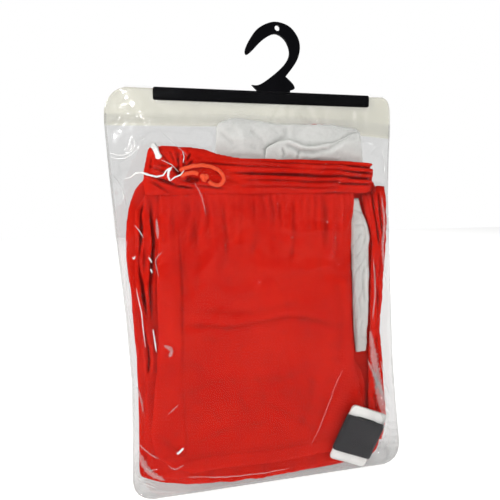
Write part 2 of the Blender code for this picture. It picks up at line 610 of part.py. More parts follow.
def drape_depths(xs, drops, tree, side, rest, fixed):
    """Depths of a taut film laid over a tree from one side, for a grid of points.

    xs holds the x places of each row in drops, and side is -1 for the front or 1 for the back.
    rest is the depth with nothing behind, and fixed(i, j) is True where the film is welded.
    The sheet relaxes flat off the cloth near each point, then each cell that still dips into
    the cloth lifts its corners.
    """
    rows, columns = len(drops), len(xs[0])
    held = [[rest] * columns for _ in range(rows)]
    needs = []
    for i in range(rows - 1):
        for j in range(columns - 1):
            for a in range(DRAPE_SAMPLES + 1):
                for b in range(DRAPE_SAMPLES + 1):
                    v, u = a / DRAPE_SAMPLES, b / DRAPE_SAMPLES
                    upper = xs[i][j] + (xs[i][j + 1] - xs[i][j]) * u
                    lower = xs[i + 1][j] + (xs[i + 1][j + 1] - xs[i + 1][j]) * u
                    start = Vector((upper + (lower - upper) * v, side,
                                    z_of(drops[i] + (drops[i + 1] - drops[i]) * v)))
                    met = tree.ray_cast(start, Vector((0.0, -side, 0.0)))[0]
                    if met is None:
                        continue
                    need = side * met.y + FILM_CLEARANCE
                    corners = ((i, j, (1 - u) * (1 - v)), (i, j + 1, u * (1 - v)), (i + 1, j, (1 - u) * v),
                               (i + 1, j + 1, u * v))
                    free = [corner for corner in corners if not fixed(*corner[:2])]
                    if sum(share for _, _, share in free) < 0.4:
                        continue
                    needs.append((corners, free, need))
                    k, m, share = max(free, key=lambda corner: corner[2])
                    if share > 0.4:
                        held[k][m] = max(held[k][m], need)
    depth = [row[:] for row in held]
    for turn in range(DRAPE_PASSES):
        for _ in range(80 if turn == 0 else 4):
            for i in range(rows):
                for j in range(columns):
                    if fixed(i, j):
                        continue
                    around = [depth[k][j] for k in (i - 1, i + 1) if 0 <= k < rows]
                    around += [depth[i][k] for k in (j - 1, j + 1) if 0 <= k < columns]
                    depth[i][j] = max(held[i][j], sum(around) / len(around))
        for corners, free, need in needs:
            short = need - sum(depth[k][m] * share for k, m, share in corners)
            if short <= 0:
                continue
            grip = sum(share * share for _, _, share in free)
            for k, m, share in free:
                depth[k][m] += short * share / grip
                held[k][m] = max(held[k][m], depth[k][m])
    return [[side * value for value in row] for row in depth]


def film_object(name, rows, finish, collection, outward, skip=None):
    """A sheet of film through a grid of points, with its wall added on the outer side."""
    down, across = len(rows) - 1, len(rows[0]) - 1
    bm = bmesh.new()
    bmesh.ops.create_grid(bm, x_segments=across, y_segments=down, size=0.5)
    cells = {}
    for vert in bm.verts:
        key = (round((vert.co.y + 0.5) * down), round((vert.co.x + 0.5) * across))
        cells[vert] = key
    if skip:
        cut = [face for face in bm.faces if skip(*(min(cells[v][k] for v in face.verts) for k in (0, 1)))]
        bmesh.ops.delete(bm, geom=cut, context="FACES")
    for vert in bm.verts:
        vert.co = rows[cells[vert][0]][cells[vert][1]]
    bmesh.ops.recalc_face_normals(bm, faces=bm.faces)
    bm.faces.ensure_lookup_table()
    facing = sum((face.normal.y * face.calc_area() for face in bm.faces))
    if facing * outward < 0:
        bmesh.ops.reverse_faces(bm, faces=bm.faces)
    mesh = bpy.data.meshes.new(name)
    bm.to_mesh(mesh)
    bm.free()
    mesh.shade_smooth()
    obj = add_object(name, mesh, finish, collection)
    wall = obj.modifiers.new("wall", "SOLIDIFY")
    wall.thickness = FILM
    wall.offset = 1.0
    return obj


def edge_places(count, near):
    """Places from 0 to 1 with one extra close to each end."""
    inner = [near + (1 - 2 * near) * i / (count - 2) for i in range(count - 1)]
    return [0.0] + inner + [1.0]


def make_bag(clear, collection, contents):
    """Front and back film draped over the folded suit, and the flap folded over the bar."""
    outline = bag_outline()

    def grid(drops, count):
        lefts = [along(outline, "drop", "left", drop) for drop in drops]
        rights = [along(outline, "drop", "right", drop) for drop in drops]
        return [[left + (right - left) * u for u in edge_places(count, 0.011)]
                for left, right in zip(lefts, rights)]

    across = 14
    body_drops = [d * MM for d in (50, 57, 63, 72, 88, 106, 135, 170, 210, 250, 290, 330, 362, 390, 408, 418, 425,
                                   429)]
    front_drops = [MOUTH_DROP] + body_drops + [BAG_HEIGHT]
    xs = grid(front_drops, across)
    last = len(front_drops) - 1
    depths = drape_depths(xs, front_drops, tree_of(contents), -1.0, 0.5 * SEAM_GAP,
                          lambda i, j: i == last or j in (0, across))
    rows = [[Vector((x, y, z_of(drop))) for x, y in zip(line, depth)]
            for line, depth, drop in zip(xs, depths, front_drops)]
    film_object("bag_front_film", rows, clear, collection, -1.0)

    back_drops = [d * MM for d in (1.9, 5, 10, 20, 34)] + body_drops + [BAG_HEIGHT]
    xs = grid(back_drops, across)
    last = len(back_drops) - 1
    depths = drape_depths(xs, back_drops, tree_of(contents + ["hanger_bar"]), 1.0, 0.5 * SEAM_GAP,
                          lambda i, j: i == last or j in (0, across))
    rows = [[Vector((x, y, z_of(drop))) for x, y in zip(line, depth)]
            for line, depth, drop in zip(xs, depths, back_drops)]
    film_object("bag_back_film", rows, clear, collection, 1.0)

    flap_drops = [d * MM for d in (2.2, 4, 8, 14, 22, 31, 40)] + [FLAP_DROP]
    bpy.context.view_layer.update()
    tree = tree_of(contents + ["hanger_bar", "bag_front_film"])
    columns = [-175, -171, -155, -130, -100, -70, -45, SLOT_LEFT / MM, 0, SLOT_RIGHT / MM, 45, 70, 100, 124,
               132, 136]
    fold = ((0.95, 2.0), (0.55, 1.5), (0.4, 0.0), (0.55, -1.5), (1.3, -2.1))
    hang_rows = []
    for drop in flap_drops:
        left = along(outline, "drop", "left", drop)
        right = along(outline, "drop", "right", drop)
        shares = ((left - SLOT_LEFT) / (columns[0] * MM - SLOT_LEFT),
                  (right - SLOT_RIGHT) / (columns[-1] * MM - SLOT_RIGHT))
        hang_rows.append([SLOT_LEFT + (x * MM - SLOT_LEFT) * shares[0] if x * MM <= SLOT_LEFT else
                          SLOT_RIGHT + (x * MM - SLOT_RIGHT) * shares[1] if x * MM >= SLOT_RIGHT else
                          x * MM for x in columns])
    depths = drape_depths(hang_rows, flap_drops, tree, -1.0, FLAP_STAND,
                          lambda i, j: i == 0 or j in (0, len(columns) - 1))
    rows = [[Vector((x, depth * MM, z_of(drop * MM))) for x in line]
            for line, (drop, depth) in zip([hang_rows[0]] * len(fold), fold)]
    rows += [[Vector((x, y, z_of(drop))) for x, y in zip(line, depth)]
             for line, depth, drop in zip(hang_rows, depths, flap_drops)]
    first, second = columns.index(SLOT_LEFT / MM), columns.index(SLOT_RIGHT / MM)
    film_object("bag_flap", rows, clear, collection, -1.0,
                skip=lambda i, j: i < len(fold) and first <= j < second)


def main():
    """Builds every piece in one collection."""
    clear_scene()
    pack = bpy.data.collections.new("folded_santa_suit")
    bpy.context.scene.collection.children.link(pack)
    red = material("red_felt", (0.52, 0.016, 0.012), 0.9)
    white = material("white_fleece", (0.84, 0.84, 0.82), 0.95)
    black = material("black_strap", (0.03, 0.03, 0.034), 0.6)
    frame = material("white_buckle", (0.82, 0.82, 0.80), 0.5)
    plastic = material("black_plastic", (0.008, 0.008, 0.012), 0.35)
    clear = material("clear_film", (0.86, 0.87, 0.85), 0.1, alpha=0.25)
    make_jacket(red, white, pack)
    make_trousers(red, pack)
    make_hat(red, white, pack)
    make_drawstring(red, pack)
    make_belt(black, frame, pack)
    bpy.context.view_layer.update()
    contents = [obj.name for obj in pack.objects]
    make_hanger(plastic, pack)
    bpy.context.view_layer.update()
    make_bag(clear, pack, contents)


main()
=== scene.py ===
"""Looks of a folded Santa suit in a clear hanging bag: felt, fleece, cord, belt, hanger and film.

The suit is one flat pack. Trousers, jacket, hat and belt lie in layers behind each other, the bag's
film is drawn over them, and a flat black hook carries it all. Sizes are in millimetres where a name or
table says so, and a drop is the distance below the fold along the bag's top edge.
"""

from __future__ import annotations

import logging
import math
from dataclasses import dataclass, replace
from enum import Enum
from typing import Protocol

import bmesh
import bpy
import numpy as np
from mathutils import Matrix, Vector, noise
from mathutils.bvhtree import BVHTree


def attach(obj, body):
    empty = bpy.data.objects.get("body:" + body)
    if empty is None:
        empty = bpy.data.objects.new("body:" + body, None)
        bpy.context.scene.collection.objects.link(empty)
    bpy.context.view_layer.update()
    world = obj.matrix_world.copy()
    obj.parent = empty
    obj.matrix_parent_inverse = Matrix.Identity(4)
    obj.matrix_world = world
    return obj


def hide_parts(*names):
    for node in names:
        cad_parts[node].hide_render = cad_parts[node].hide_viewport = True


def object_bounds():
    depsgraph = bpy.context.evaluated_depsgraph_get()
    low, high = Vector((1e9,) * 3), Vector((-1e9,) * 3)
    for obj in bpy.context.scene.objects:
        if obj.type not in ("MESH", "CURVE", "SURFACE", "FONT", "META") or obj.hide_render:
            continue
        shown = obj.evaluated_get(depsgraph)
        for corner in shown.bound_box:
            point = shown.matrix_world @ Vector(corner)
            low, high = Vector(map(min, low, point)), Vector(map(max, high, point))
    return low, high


LOG = logging.getLogger("folded_santa_suit")
MM = 0.001
BODY = "root"
Point = tuple[float, float]
Colour = tuple[float, float, float]

# From the bag's top fold up to the hook's seat, in millimetres.
HOOK_RISE = 58.0

# The mesh attribute for how deep cloth lies in a fold, its value on the flat, and how far the cloth is
# smoothed to find its folds, in millimetres. The attribute paints shade into folds and light onto crests.
HOLLOW = "hollow"
HOLLOW_FLAT = 0.45
HOLLOW_REACH = 4.5

# How far past its outline a piece of cloth is still shaped, and over what turn of its normal that eases in.
SHAPED_PAST = 0.30
SHAPED_OVER = 0.75

# Size of the slow bends in a cloth's outline, and of the band where its top edge is raised, in millimetres.
SWAY_ACROSS = (40.0, 46.0)
SWAY_DOWN = (44.0, 40.0)
TOP_BAND = 9.0

# The crest beside a pressed line: its distance and its width, in widths of the line.
CREST_AWAY = 2.2
CREST_WIDTH = 1.2

# Sizes of the film's large folds, small folds and fine crinkles, and of its flat band at the welds, in
# millimetres.
FILM_LARGE = (34.0, 46.0)
FILM_SMALL = (15.0, 26.0)
FILM_FINE = (12.0, 17.0)
FILM_FLAT_BAND = 9.0

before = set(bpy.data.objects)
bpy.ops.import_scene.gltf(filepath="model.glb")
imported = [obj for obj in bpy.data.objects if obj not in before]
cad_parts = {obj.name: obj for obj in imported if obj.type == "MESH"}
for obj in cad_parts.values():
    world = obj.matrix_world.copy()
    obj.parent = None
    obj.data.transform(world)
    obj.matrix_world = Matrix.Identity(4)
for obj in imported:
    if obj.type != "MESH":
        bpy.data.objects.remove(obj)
CAD_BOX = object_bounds()


def drops_of(points: np.ndarray) -> np.ndarray:
    """Drop of each point below the bag's top fold, in millimetres."""
    return -points[:, 2] / MM - HOOK_RISE


def z_of(drop: float | np.ndarray) -> float | np.ndarray:
    """Height in metres of a drop in millimetres."""
    return -(HOOK_RISE + drop) * MM


def ease(t: np.ndarray) -> np.ndarray:
    """Ease from 0 to 1 with flat ends."""
    t = np.clip(t, 0.0, 1.0)
    return t * t * (3 - 2 * t)


def bump_field(x: np.ndarray, drop: np.ndarray, size: Point, seed: float, octaves: int = 2) -> np.ndarray:
    """Smooth noise over the front of the pack.

    Args:
        x: Places across, in millimetres.
        drop: Places down, in millimetres.
        size: Typical width and height of one lump, in millimetres.
        seed: Shifts the pattern, so that pieces differ.
        octaves: How many finer layers are summed.

    Returns:
        Values from about -1 to 1.
    """
    total = np.zeros(len(x))
    share, norm = 1.0, 0.0
    for layer in range(octaves):
        scale = 2.0 ** layer
        across, down = x * scale / size[0], drop * scale / size[1]
        lump = np.array([noise.noise((a, b, seed + 7.3 * layer)) for a, b in zip(across, down)])
        total += share * lump
        norm += share
        share *= 0.5
    return total / norm * 1.6


def ridge_field(x: np.ndarray, drop: np.ndarray, size: Point, seed: float) -> np.ndarray:
    """Sharp crests of crumpled sheet, from 0 between them to 1 along them."""
    bend = bump_field(x, drop, (2.2 * size[0], 2.2 * size[1]), seed + 31.0, 1)
    lump = bump_field(x + 0.5 * size[0] * bend, drop - 0.5 * size[1] * bend, size, seed, 1)
    return np.clip(1 - np.abs(lump) * 2.6, 0.0, 1.0) ** 2


# ---------------------------------------------------------------------------------------------
# Finishes
# ---------------------------------------------------------------------------------------------


class Nodes:
    """A short way to lay out the shader nodes of one material."""

    def __init__(self, name: str) -> None:
        """Starts a material with one Principled shader."""
        self.material = bpy.data.materials.new(name)
        self.material.use_nodes = True
        self.tree = self.material.node_tree
        self.shader = self.tree.nodes["Principled BSDF"]
        self.place = self.tree.nodes.new("ShaderNodeTexCoord").outputs["Object"]

    def add(self, kind: str, **settings: object) -> bpy.types.Node:
        """Adds one node and sets its named properties."""
        node = self.tree.nodes.new(kind)
        for key, value in settings.items():
            setattr(node, key, value)
        return node

    def join(self, source: bpy.types.NodeSocket, target: bpy.types.NodeSocket) -> None:
        """Links two sockets."""
        self.tree.links.new(source, target)

    def mapped(self, scale: tuple[float, float, float], turn: float = 0.0) -> bpy.types.NodeSocket:
        """Object coordinates scaled and turned about Y."""
        node = self.add("ShaderNodeMapping")
        node.inputs["Scale"].default_value = scale
        node.inputs["Rotation"].default_value = (0.0, turn, 0.0)
        self.join(self.place, node.inputs["Vector"])
        return node.outputs["Vector"]

    def noise(self, scale: float, detail: float, vector: bpy.types.NodeSocket | None = None,
              roughness: float = 0.5) -> bpy.types.NodeSocket:
        """A noise texture's value."""
        node = self.add("ShaderNodeTexNoise")
        node.inputs["Scale"].default_value = scale
        node.inputs["Detail"].default_value = detail
        node.inputs["Roughness"].default_value = roughness
        self.join(vector or self.place, node.inputs["Vector"])
        return node.outputs["Fac"]

    def cells(self, scale: float) -> bpy.types.NodeSocket:
        """A Voronoi texture's distance."""
        node = self.add("ShaderNodeTexVoronoi")
        node.inputs["Scale"].default_value = scale
        self.join(self.place, node.inputs["Vector"])
        return node.outputs["Distance"]

    def maths(self, operation: str, first: bpy.types.NodeSocket, second: bpy.types.NodeSocket | float,
              ) -> bpy.types.NodeSocket:
        """A Math node on one socket and another, or a number."""
        node = self.add("ShaderNodeMath", operation=operation)
        self.join(first, node.inputs[0])
        if isinstance(second, (int, float)):
            node.inputs[1].default_value = second
        else:
            self.join(second, node.inputs[1])
        return node.outputs[0]

    def ramp(self, value: bpy.types.NodeSocket, stops: tuple[tuple[float, Colour], ...]) -> bpy.types.NodeSocket:
        """Colours along a value."""
        node = self.add("ShaderNodeValToRGB")
        ramp = node.color_ramp
        while len(ramp.elements) < len(stops):
            ramp.elements.new(0.5)
        for element, (at, colour) in zip(ramp.elements, stops):
            element.position = at
            element.color = (*colour, 1.0)
        self.join(value, node.inputs["Fac"])
        return node.outputs["Color"]

    def spread(self, value: bpy.types.NodeSocket, low: float, high: float) -> bpy.types.NodeSocket:
        """A value from 0 to 1 mapped between two numbers."""
        node = self.add("ShaderNodeMapRange")
        node.inputs["To Min"].default_value = low
        node.inputs["To Max"].default_value = high
        self.join(value, node.inputs["Value"])
        return node.outputs["Result"]

    def bump(self, height: bpy.types.NodeSocket, distance: float, strength: float,
             under: bpy.types.NodeSocket | None = None) -> bpy.types.NodeSocket:
        """A bump on top of another."""
        node = self.add("ShaderNodeBump")
        node.inputs["Distance"].default_value = distance
        node.inputs["Strength"].default_value = strength
        self.join(height, node.inputs["Height"])
        if under:
            self.join(under, node.inputs["Normal"])
        return node.outputs["Normal"]

    def attribute(self, name: str) -> bpy.types.NodeSocket:
        """A value kept on the mesh's points."""
        return self.add("ShaderNodeAttribute", attribute_name=name).outputs["Fac"]

    def scaled(self, colour: bpy.types.NodeSocket, by: bpy.types.NodeSocket) -> bpy.types.NodeSocket:
        """A colour multiplied by a value."""
        node = self.add("ShaderNodeVectorMath", operation="SCALE")
        self.join(colour, node.inputs[0])
        self.join(by, node.inputs["Scale"])
        return node.outputs["Vector"]

    def set(self, **values: object) -> None:
        """Sets plain values on the shader's own sockets, with _ for a space."""
        for key, value in values.items():
            self.shader.inputs[key.replace("_", " ")].default_value = value

    def wire(self, **sources: bpy.types.NodeSocket) -> None:
        """Links sockets to the shader's own, with _ for a space."""
        for key, source in sources.items():
            self.join(source, self.shader.inputs[key.replace("_", " ")])


class Finish(Protocol):
    """What every finish offers."""

    name: str

    def make(self) -> bpy.types.Material:
        """Builds the material."""
        ...


@dataclass(frozen=True)
class NappedCloth:
    """Felt or fleece: a fibrous nap over a knitted ground, with soft blotches of colour, painted fold shade and crest
    light.
    """

    name: str
    low: Colour
    middle: Colour
    high: Colour
    sheen: float
    sheen_tint: Colour
    nap: float
    pile: float
    ribs: float
    # How dark the colour is made in the deepest folds, as painted shade.
    hollow: float
    fold: float = 1.7

    def make(self) -> bpy.types.Material:
        """Builds the material."""
        n = Nodes(self.name)
        blotch = n.maths("ADD", n.maths("MULTIPLY", n.noise(26.0, 5.0), 0.5),
                         n.maths("MULTIPLY", n.noise(150.0, 5.0, roughness=0.65), 0.5))
        fibres = n.noise(900.0, 3.0, n.mapped((1.0, 1.0, 0.35), 0.5))
        crossed = n.noise(900.0, 3.0, n.mapped((0.35, 1.0, 1.0), 0.4))
        fuzz = n.maths("MAXIMUM", fibres, crossed)
        tone = n.maths("ADD", n.maths("MULTIPLY", blotch, 0.62), n.maths("MULTIPLY", fuzz, 0.38))
        colour = n.ramp(tone, ((0.30, self.low), (0.50, self.middle), (0.72, self.high)))
        # Painted shade and light: the colour is darkened where the cloth lies deep in a fold, and lightened on crests.
        painted_fold_shade = n.ramp(n.attribute(HOLLOW), ((0.0, (1.10,) * 3), (HOLLOW_FLAT, (1.0,) * 3),
                                            (0.75, (self.hollow ** 0.6,) * 3), (1.0, (self.hollow,) * 3)))
        n.wire(Base_Color=n.scaled(colour, painted_fold_shade))
        pile = n.cells(self.pile)
        ground = n.bump(pile, 0.0005, 0.30)
        if self.ribs:
            wave = n.add("ShaderNodeTexWave", bands_direction="Z")
            wave.inputs["Scale"].default_value = self.ribs
            wave.inputs["Distortion"].default_value = 2.2
            wave.inputs["Detail"].default_value = 2.0
            wave.inputs["Detail Scale"].default_value = 1.2
            n.join(n.place, wave.inputs["Vector"])
            ground = n.bump(wave.outputs["Fac"], 0.00022, 0.35, ground)
        n.wire(Normal=n.bump(fuzz, 0.00035, self.nap, ground), Roughness=n.spread(blotch, 0.86, 1.0))
        n.set(Sheen_Weight=self.sheen, Sheen_Roughness=0.45, Sheen_Tint=(*self.sheen_tint, 1.0),
              Specular_IOR_Level=0.03)
        return n.material


@dataclass(frozen=True)
class BraidedYarn:
    """Yarn or thread with fine fibres across it, and the slot of the pieces that it makes, which is not used."""

    name: str
    low: Colour
    high: Colour
    slot: str

    def make(self) -> bpy.types.Material:
        """Builds the material."""
        n = Nodes(self.name)
        fibres = n.noise(1500.0, 3.0)
        n.wire(Base_Color=n.ramp(fibres, ((0.35, self.low), (0.65, self.high))),
               Normal=n.bump(fibres, 0.0003, 0.6), Roughness=n.spread(fibres, 0.6, 0.85))
        n.set(Sheen_Weight=0.12, Sheen_Roughness=0.4, Sheen_Tint=(1.0, 0.5, 0.4, 1.0), Specular_IOR_Level=0.2)
        return n.material


@dataclass(frozen=True)
class GrainedStrap:
    """A dull black coated strap with a fine pebbled grain and paler rubbed spots."""

    name: str

    def make(self) -> bpy.types.Material:
        """Builds the material."""
        n = Nodes(self.name)
        wear = n.noise(70.0, 6.0, roughness=0.65)
        grain = n.cells(900.0)
        n.wire(Base_Color=n.ramp(wear, ((0.3, (0.014, 0.014, 0.016)), (0.6, (0.024, 0.024, 0.027)),
                                        (0.8, (0.050, 0.050, 0.054)))))
        pebble = n.bump(grain, 0.0004, 0.55)
        n.wire(Normal=n.bump(n.noise(350.0, 4.0), 0.0003, 0.3, pebble), Roughness=n.spread(wear, 0.52, 0.78))
        n.set(Specular_IOR_Level=0.25)
        return n.material


@dataclass(frozen=True)
class MouldedPlastic:
    """Injection-moulded plastic with a faint grain, flow marks and small scuffs."""

    name: str
    low: Colour
    high: Colour
    rough: Point
    shine: float
    relief: float = 0.2

    def make(self) -> bpy.types.Material:
        """Builds the material."""
        n = Nodes(self.name)
        flow = n.noise(45.0, 5.0, n.mapped((1.0, 1.0, 0.3), 0.2))
        scuffs = n.noise(260.0, 6.0, n.mapped((0.12, 1.0, 1.0), 0.7), 0.7)
        n.wire(Base_Color=n.ramp(flow, ((0.3, self.low), (0.7, self.high))), Roughness=n.spread(scuffs, *self.rough))
        grain = n.bump(n.noise(1600.0, 2.0), 0.0002, self.relief)
        n.wire(Normal=n.bump(flow, 0.0008, 0.12, grain))
        n.set(Specular_IOR_Level=self.shine)
        return n.material


@dataclass(frozen=True)
class ClearFilm:
    """Clear film: nearly black where lit, see-through, and shiny along its fine crinkles."""

    name: str
    low: Colour
    high: Colour
    alpha: float
    rough: Point
    crinkle: float

    def make(self) -> bpy.types.Material:
        """Builds the material."""
        n = Nodes(self.name)
        haze = n.noise(18.0, 6.0, n.mapped((1.0, 1.0, 0.45), 0.5), 0.6)
        fine = n.noise(120.0, 4.0, n.mapped((0.45, 1.0, 1.0), 0.7), 0.6)
        n.wire(Base_Color=n.ramp(haze, ((0.3, self.low), (0.75, self.high))), Roughness=n.spread(fine, *self.rough))
        broad = n.bump(haze, 0.004, self.crinkle)
        n.wire(Normal=n.bump(fine, 0.0006, self.crinkle, broad))
        n.set(Alpha=self.alpha, Specular_IOR_Level=1.0, Coat_Weight=0.7, Coat_IOR=2.2, Coat_Roughness=0.05)
        n.material.surface_render_method = "BLENDED"
        return n.material


MADE: dict[str, bpy.types.Material] = {}


def made_once(finish: Finish) -> bpy.types.Material:
    """The material of a finish, built at its first use."""
    if finish.name not in MADE:
        MADE[finish.name] = finish.make()
    return MADE[finish.name]


RED_FELT = NappedCloth("red_felt", (0.37, 0.004, 0.002), (0.53, 0.009, 0.003), (0.67, 0.020, 0.008),
                       0.03, (1.0, 0.45, 0.36), 0.55, 420.0, 170.0, 0.30)
WHITE_FLEECE = NappedCloth("white_fleece", (0.52, 0.525, 0.505), (0.62, 0.625, 0.605), (0.71, 0.71, 0.69),
                           0.08, (1.0, 1.0, 0.98), 0.75, 300.0, 0.0, 0.66)
RED_THREAD = BraidedYarn("red_thread", (0.30, 0.006, 0.003), (0.52, 0.016, 0.008), "red_felt")
WHITE_THREAD = BraidedYarn("white_thread", (0.66, 0.66, 0.64), (0.84, 0.84, 0.82), "white_fleece")
CORD_YARN = BraidedYarn("red_cord", (0.70, 0.040, 0.012), (0.93, 0.125, 0.040), "red_cord")
BLACK_STRAP = GrainedStrap("black_strap")
BUCKLE_PLASTIC = MouldedPlastic("white_buckle", (0.72, 0.72, 0.70), (0.86, 0.86, 0.84), (0.32, 0.55), 0.4)
HANGER_PLASTIC = MouldedPlastic("black_plastic", (0.0006, 0.0006, 0.0012), (0.002, 0.002, 0.0032),
                                (0.30, 0.48), 0.05)
FRONT_FILM = ClearFilm("clear_film_front", (0.02, 0.02, 0.02), (0.07, 0.07, 0.068), 0.020, (0.03, 0.07), 0.06)
BACK_FILM = ClearFilm("clear_film_back", (0.14, 0.143, 0.13), (0.22, 0.22, 0.205), 0.22, (0.10, 0.22), 0.10)
WELD_FILM = ClearFilm("clear_film_weld", (0.34, 0.345, 0.33), (0.52, 0.52, 0.50), 0.24, (0.10, 0.25), 0.15)
FLAP_FILM = ClearFilm("clear_film_flap", (0.02, 0.02, 0.018), (0.05, 0.05, 0.045), 0.015, (0.03, 0.08), 0.05)
# White strips along the film's sharp folds: painted highlights where the folds would catch the light.
PAINTED_HIGHLIGHT_FILM = ClearFilm("clear_film_painted_highlight", (0.80, 0.80, 0.79), (0.98, 0.98, 0.97), 0.93, (0.12, 0.3), 0.10)
# Wide faint white strips on the film: painted reflections of light along its folds.
PAINTED_REFLECTION_FILM = ClearFilm("clear_film_painted_reflection", (0.70, 0.68, 0.67), (0.90, 0.89, 0.88), 0.15, (0.2, 0.4), 0.10)
HEADER_FILM = ClearFilm("clear_film_header", (0.46, 0.44, 0.29), (0.60, 0.58, 0.40), 0.385, (0.16, 0.32), 0.10)
# The back film towards the bag's foot, in steps each less clear than the last: painted shade, darker towards the
# bottom.
FOOT_SHADE_FILMS = tuple(replace(BACK_FILM, name=f"clear_film_foot_shade_{step}", alpha=alpha)
                   for step, alpha in enumerate((0.25, 0.29, 0.33, 0.37, 0.41), 1))


# ---------------------------------------------------------------------------------------------
# Meshes and pieces
# ---------------------------------------------------------------------------------------------


def run_along(points: np.ndarray) -> np.ndarray:
    """Length of a line up to each of its points."""
    return np.concatenate([[0.0], np.cumsum(np.linalg.norm(np.diff(points, axis=0), axis=1))])


def tube_faces(rings: int, n: int) -> list[tuple[int, ...]]:
    """Faces of a tube that has n points a ring and is closed at both ends."""
    faces = [(i * n + k, i * n + (k + 1) % n, (i + 1) * n + (k + 1) % n, (i + 1) * n + k)
             for i in range(rings - 1) for k in range(n)]
    return [*faces, tuple(range(n - 1, -1, -1)), tuple((rings - 1) * n + k for k in range(n))]


def read_vectors(mesh: bpy.types.Mesh, name: str) -> np.ndarray:
    """A vector of each point of a mesh: its place, co, or its normal."""
    values = np.empty(3 * len(mesh.vertices))
    mesh.vertices.foreach_get(name, values)
    return values.reshape(-1, 3)


def select_only(piece: bpy.types.Object) -> None:
    """Makes one object the active one, and the only one selected."""
    bpy.ops.object.select_all(action="DESELECT")
    piece.select_set(True)
    bpy.context.view_layer.objects.active = piece


def modify(piece: bpy.types.Object, kind: str, **settings: object) -> None:
    """Adds a modifier with its settings to the active piece, and applies it."""
    modifier = piece.modifiers.new(kind, kind)
    for key, value in settings.items():
        setattr(modifier, key, value)
    bpy.ops.object.modifier_apply(modifier=modifier.name)


def linked(data: bpy.types.ID) -> bpy.types.Object:
    """A new object in the scene for a mesh, camera or light, under its name."""
    made = bpy.data.objects.new(data.name, data)
    bpy.context.scene.collection.objects.link(made)
    return made


def closed_piece(name: str, verts: list[tuple[float, ...]], faces: list[tuple[int, ...]],
                 finish: Finish) -> bpy.types.Object:
    """A smooth closed piece from its points and faces, with the faces turned outwards."""
    mesh = bpy.data.meshes.new(name)
    mesh.from_pydata(verts, [], faces)
    bm = bmesh.new()
    bm.from_mesh(mesh)
    bmesh.ops.recalc_face_normals(bm, faces=bm.faces)
    bm.to_mesh(mesh)
    bm.free()
    mesh.shade_smooth()
    mesh.materials.append(made_once(finish))
    return linked(mesh)


def settle(piece: bpy.types.Object, node: str | None = None) -> None:
    """Fixes a piece to the body, in the place of a node if one is named."""
    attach(piece, BODY)
    if node:
        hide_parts(node)
    LOG.info("%s: %d faces", piece.name, len(piece.data.polygons))


# ---------------------------------------------------------------------------------------------
# Cloth
# ---------------------------------------------------------------------------------------------


class Facing(Enum):
    """Which side of a piece is shaped."""

    FRONT = -1.0
    REAR = 1.0


@dataclass(frozen=True)
class Crease:
    """A fold line pressed into cloth or film.

    The route is in millimetres, as x and drop. A positive depth is a groove, and a negative one a crest.
    """

    route: tuple[Point, ...]
    depth: float
    width: float
    shoulder: float = 0.35
    fade: float = 0.2

    def push(self, x: np.ndarray, drop: np.ndarray) -> np.ndarray:
        """How far each point is pressed in, in millimetres."""
        runs = [math.hypot(b[0] - a[0], b[1] - a[1]) for a, b in zip(self.route, self.route[1:])]
        away = np.full(len(x), np.inf)
        along = np.zeros(len(x))
        start = 0.0
        for (x0, d0), (x1, d1), run in zip(self.route, self.route[1:], runs):
            share = np.clip(((x - x0) * (x1 - x0) + (drop - d0) * (d1 - d0)) / run ** 2, 0.0, 1.0)
            off = np.hypot(x - x0 - share * (x1 - x0), drop - d0 - share * (d1 - d0))
            nearer = off < away
            away[nearer] = off[nearer]
            along[nearer] = (start + share * run)[nearer]
            start += run
        t = along / start
        held = ease(np.minimum(t, 1 - t) / self.fade) if self.fade else np.ones(len(x))
        groove = np.exp(-(away / self.width) ** 2)
        crest = np.exp(-((away - CREST_AWAY * self.width) / (CREST_WIDTH * self.width)) ** 2)
        return self.depth * held * (groove - self.shoulder * crest)


@dataclass(frozen=True)
class Ripple:
    """Soft waves and fine crumples of a cloth: their width, height and depth, in millimetres."""

    size: Point = (60.0, 90.0)
    height: float = 0.6
    crumple_size: Point = (26.0, 34.0)
    crumple: float = 0.5
    seed: float = 1.0


@dataclass(frozen=True)
class Gathers:
    """Pleats that a drawn-in seam throws into the cloth beside it, in millimetres."""

    start: float
    fade: float
    pitch: float
    height: float
    seed: float

    def push(self, x: np.ndarray, drop: np.ndarray) -> np.ndarray:
        """How far each point is pressed in, in millimetres."""
        sway = bump_field(x, drop, (38.0, 90.0), self.seed, 1)
        strength = 0.55 + 0.45 * bump_field(x, drop, (26.0, 60.0), self.seed + 4.0, 1)
        wave = np.sin(math.tau * (x / self.pitch + 0.55 * sway))
        held = ease(1 - (drop - self.start) / self.fade) ** 1.3
        return -self.height * held * strength * (1 - 2 * np.abs(wave) ** 0.7) * 0.5


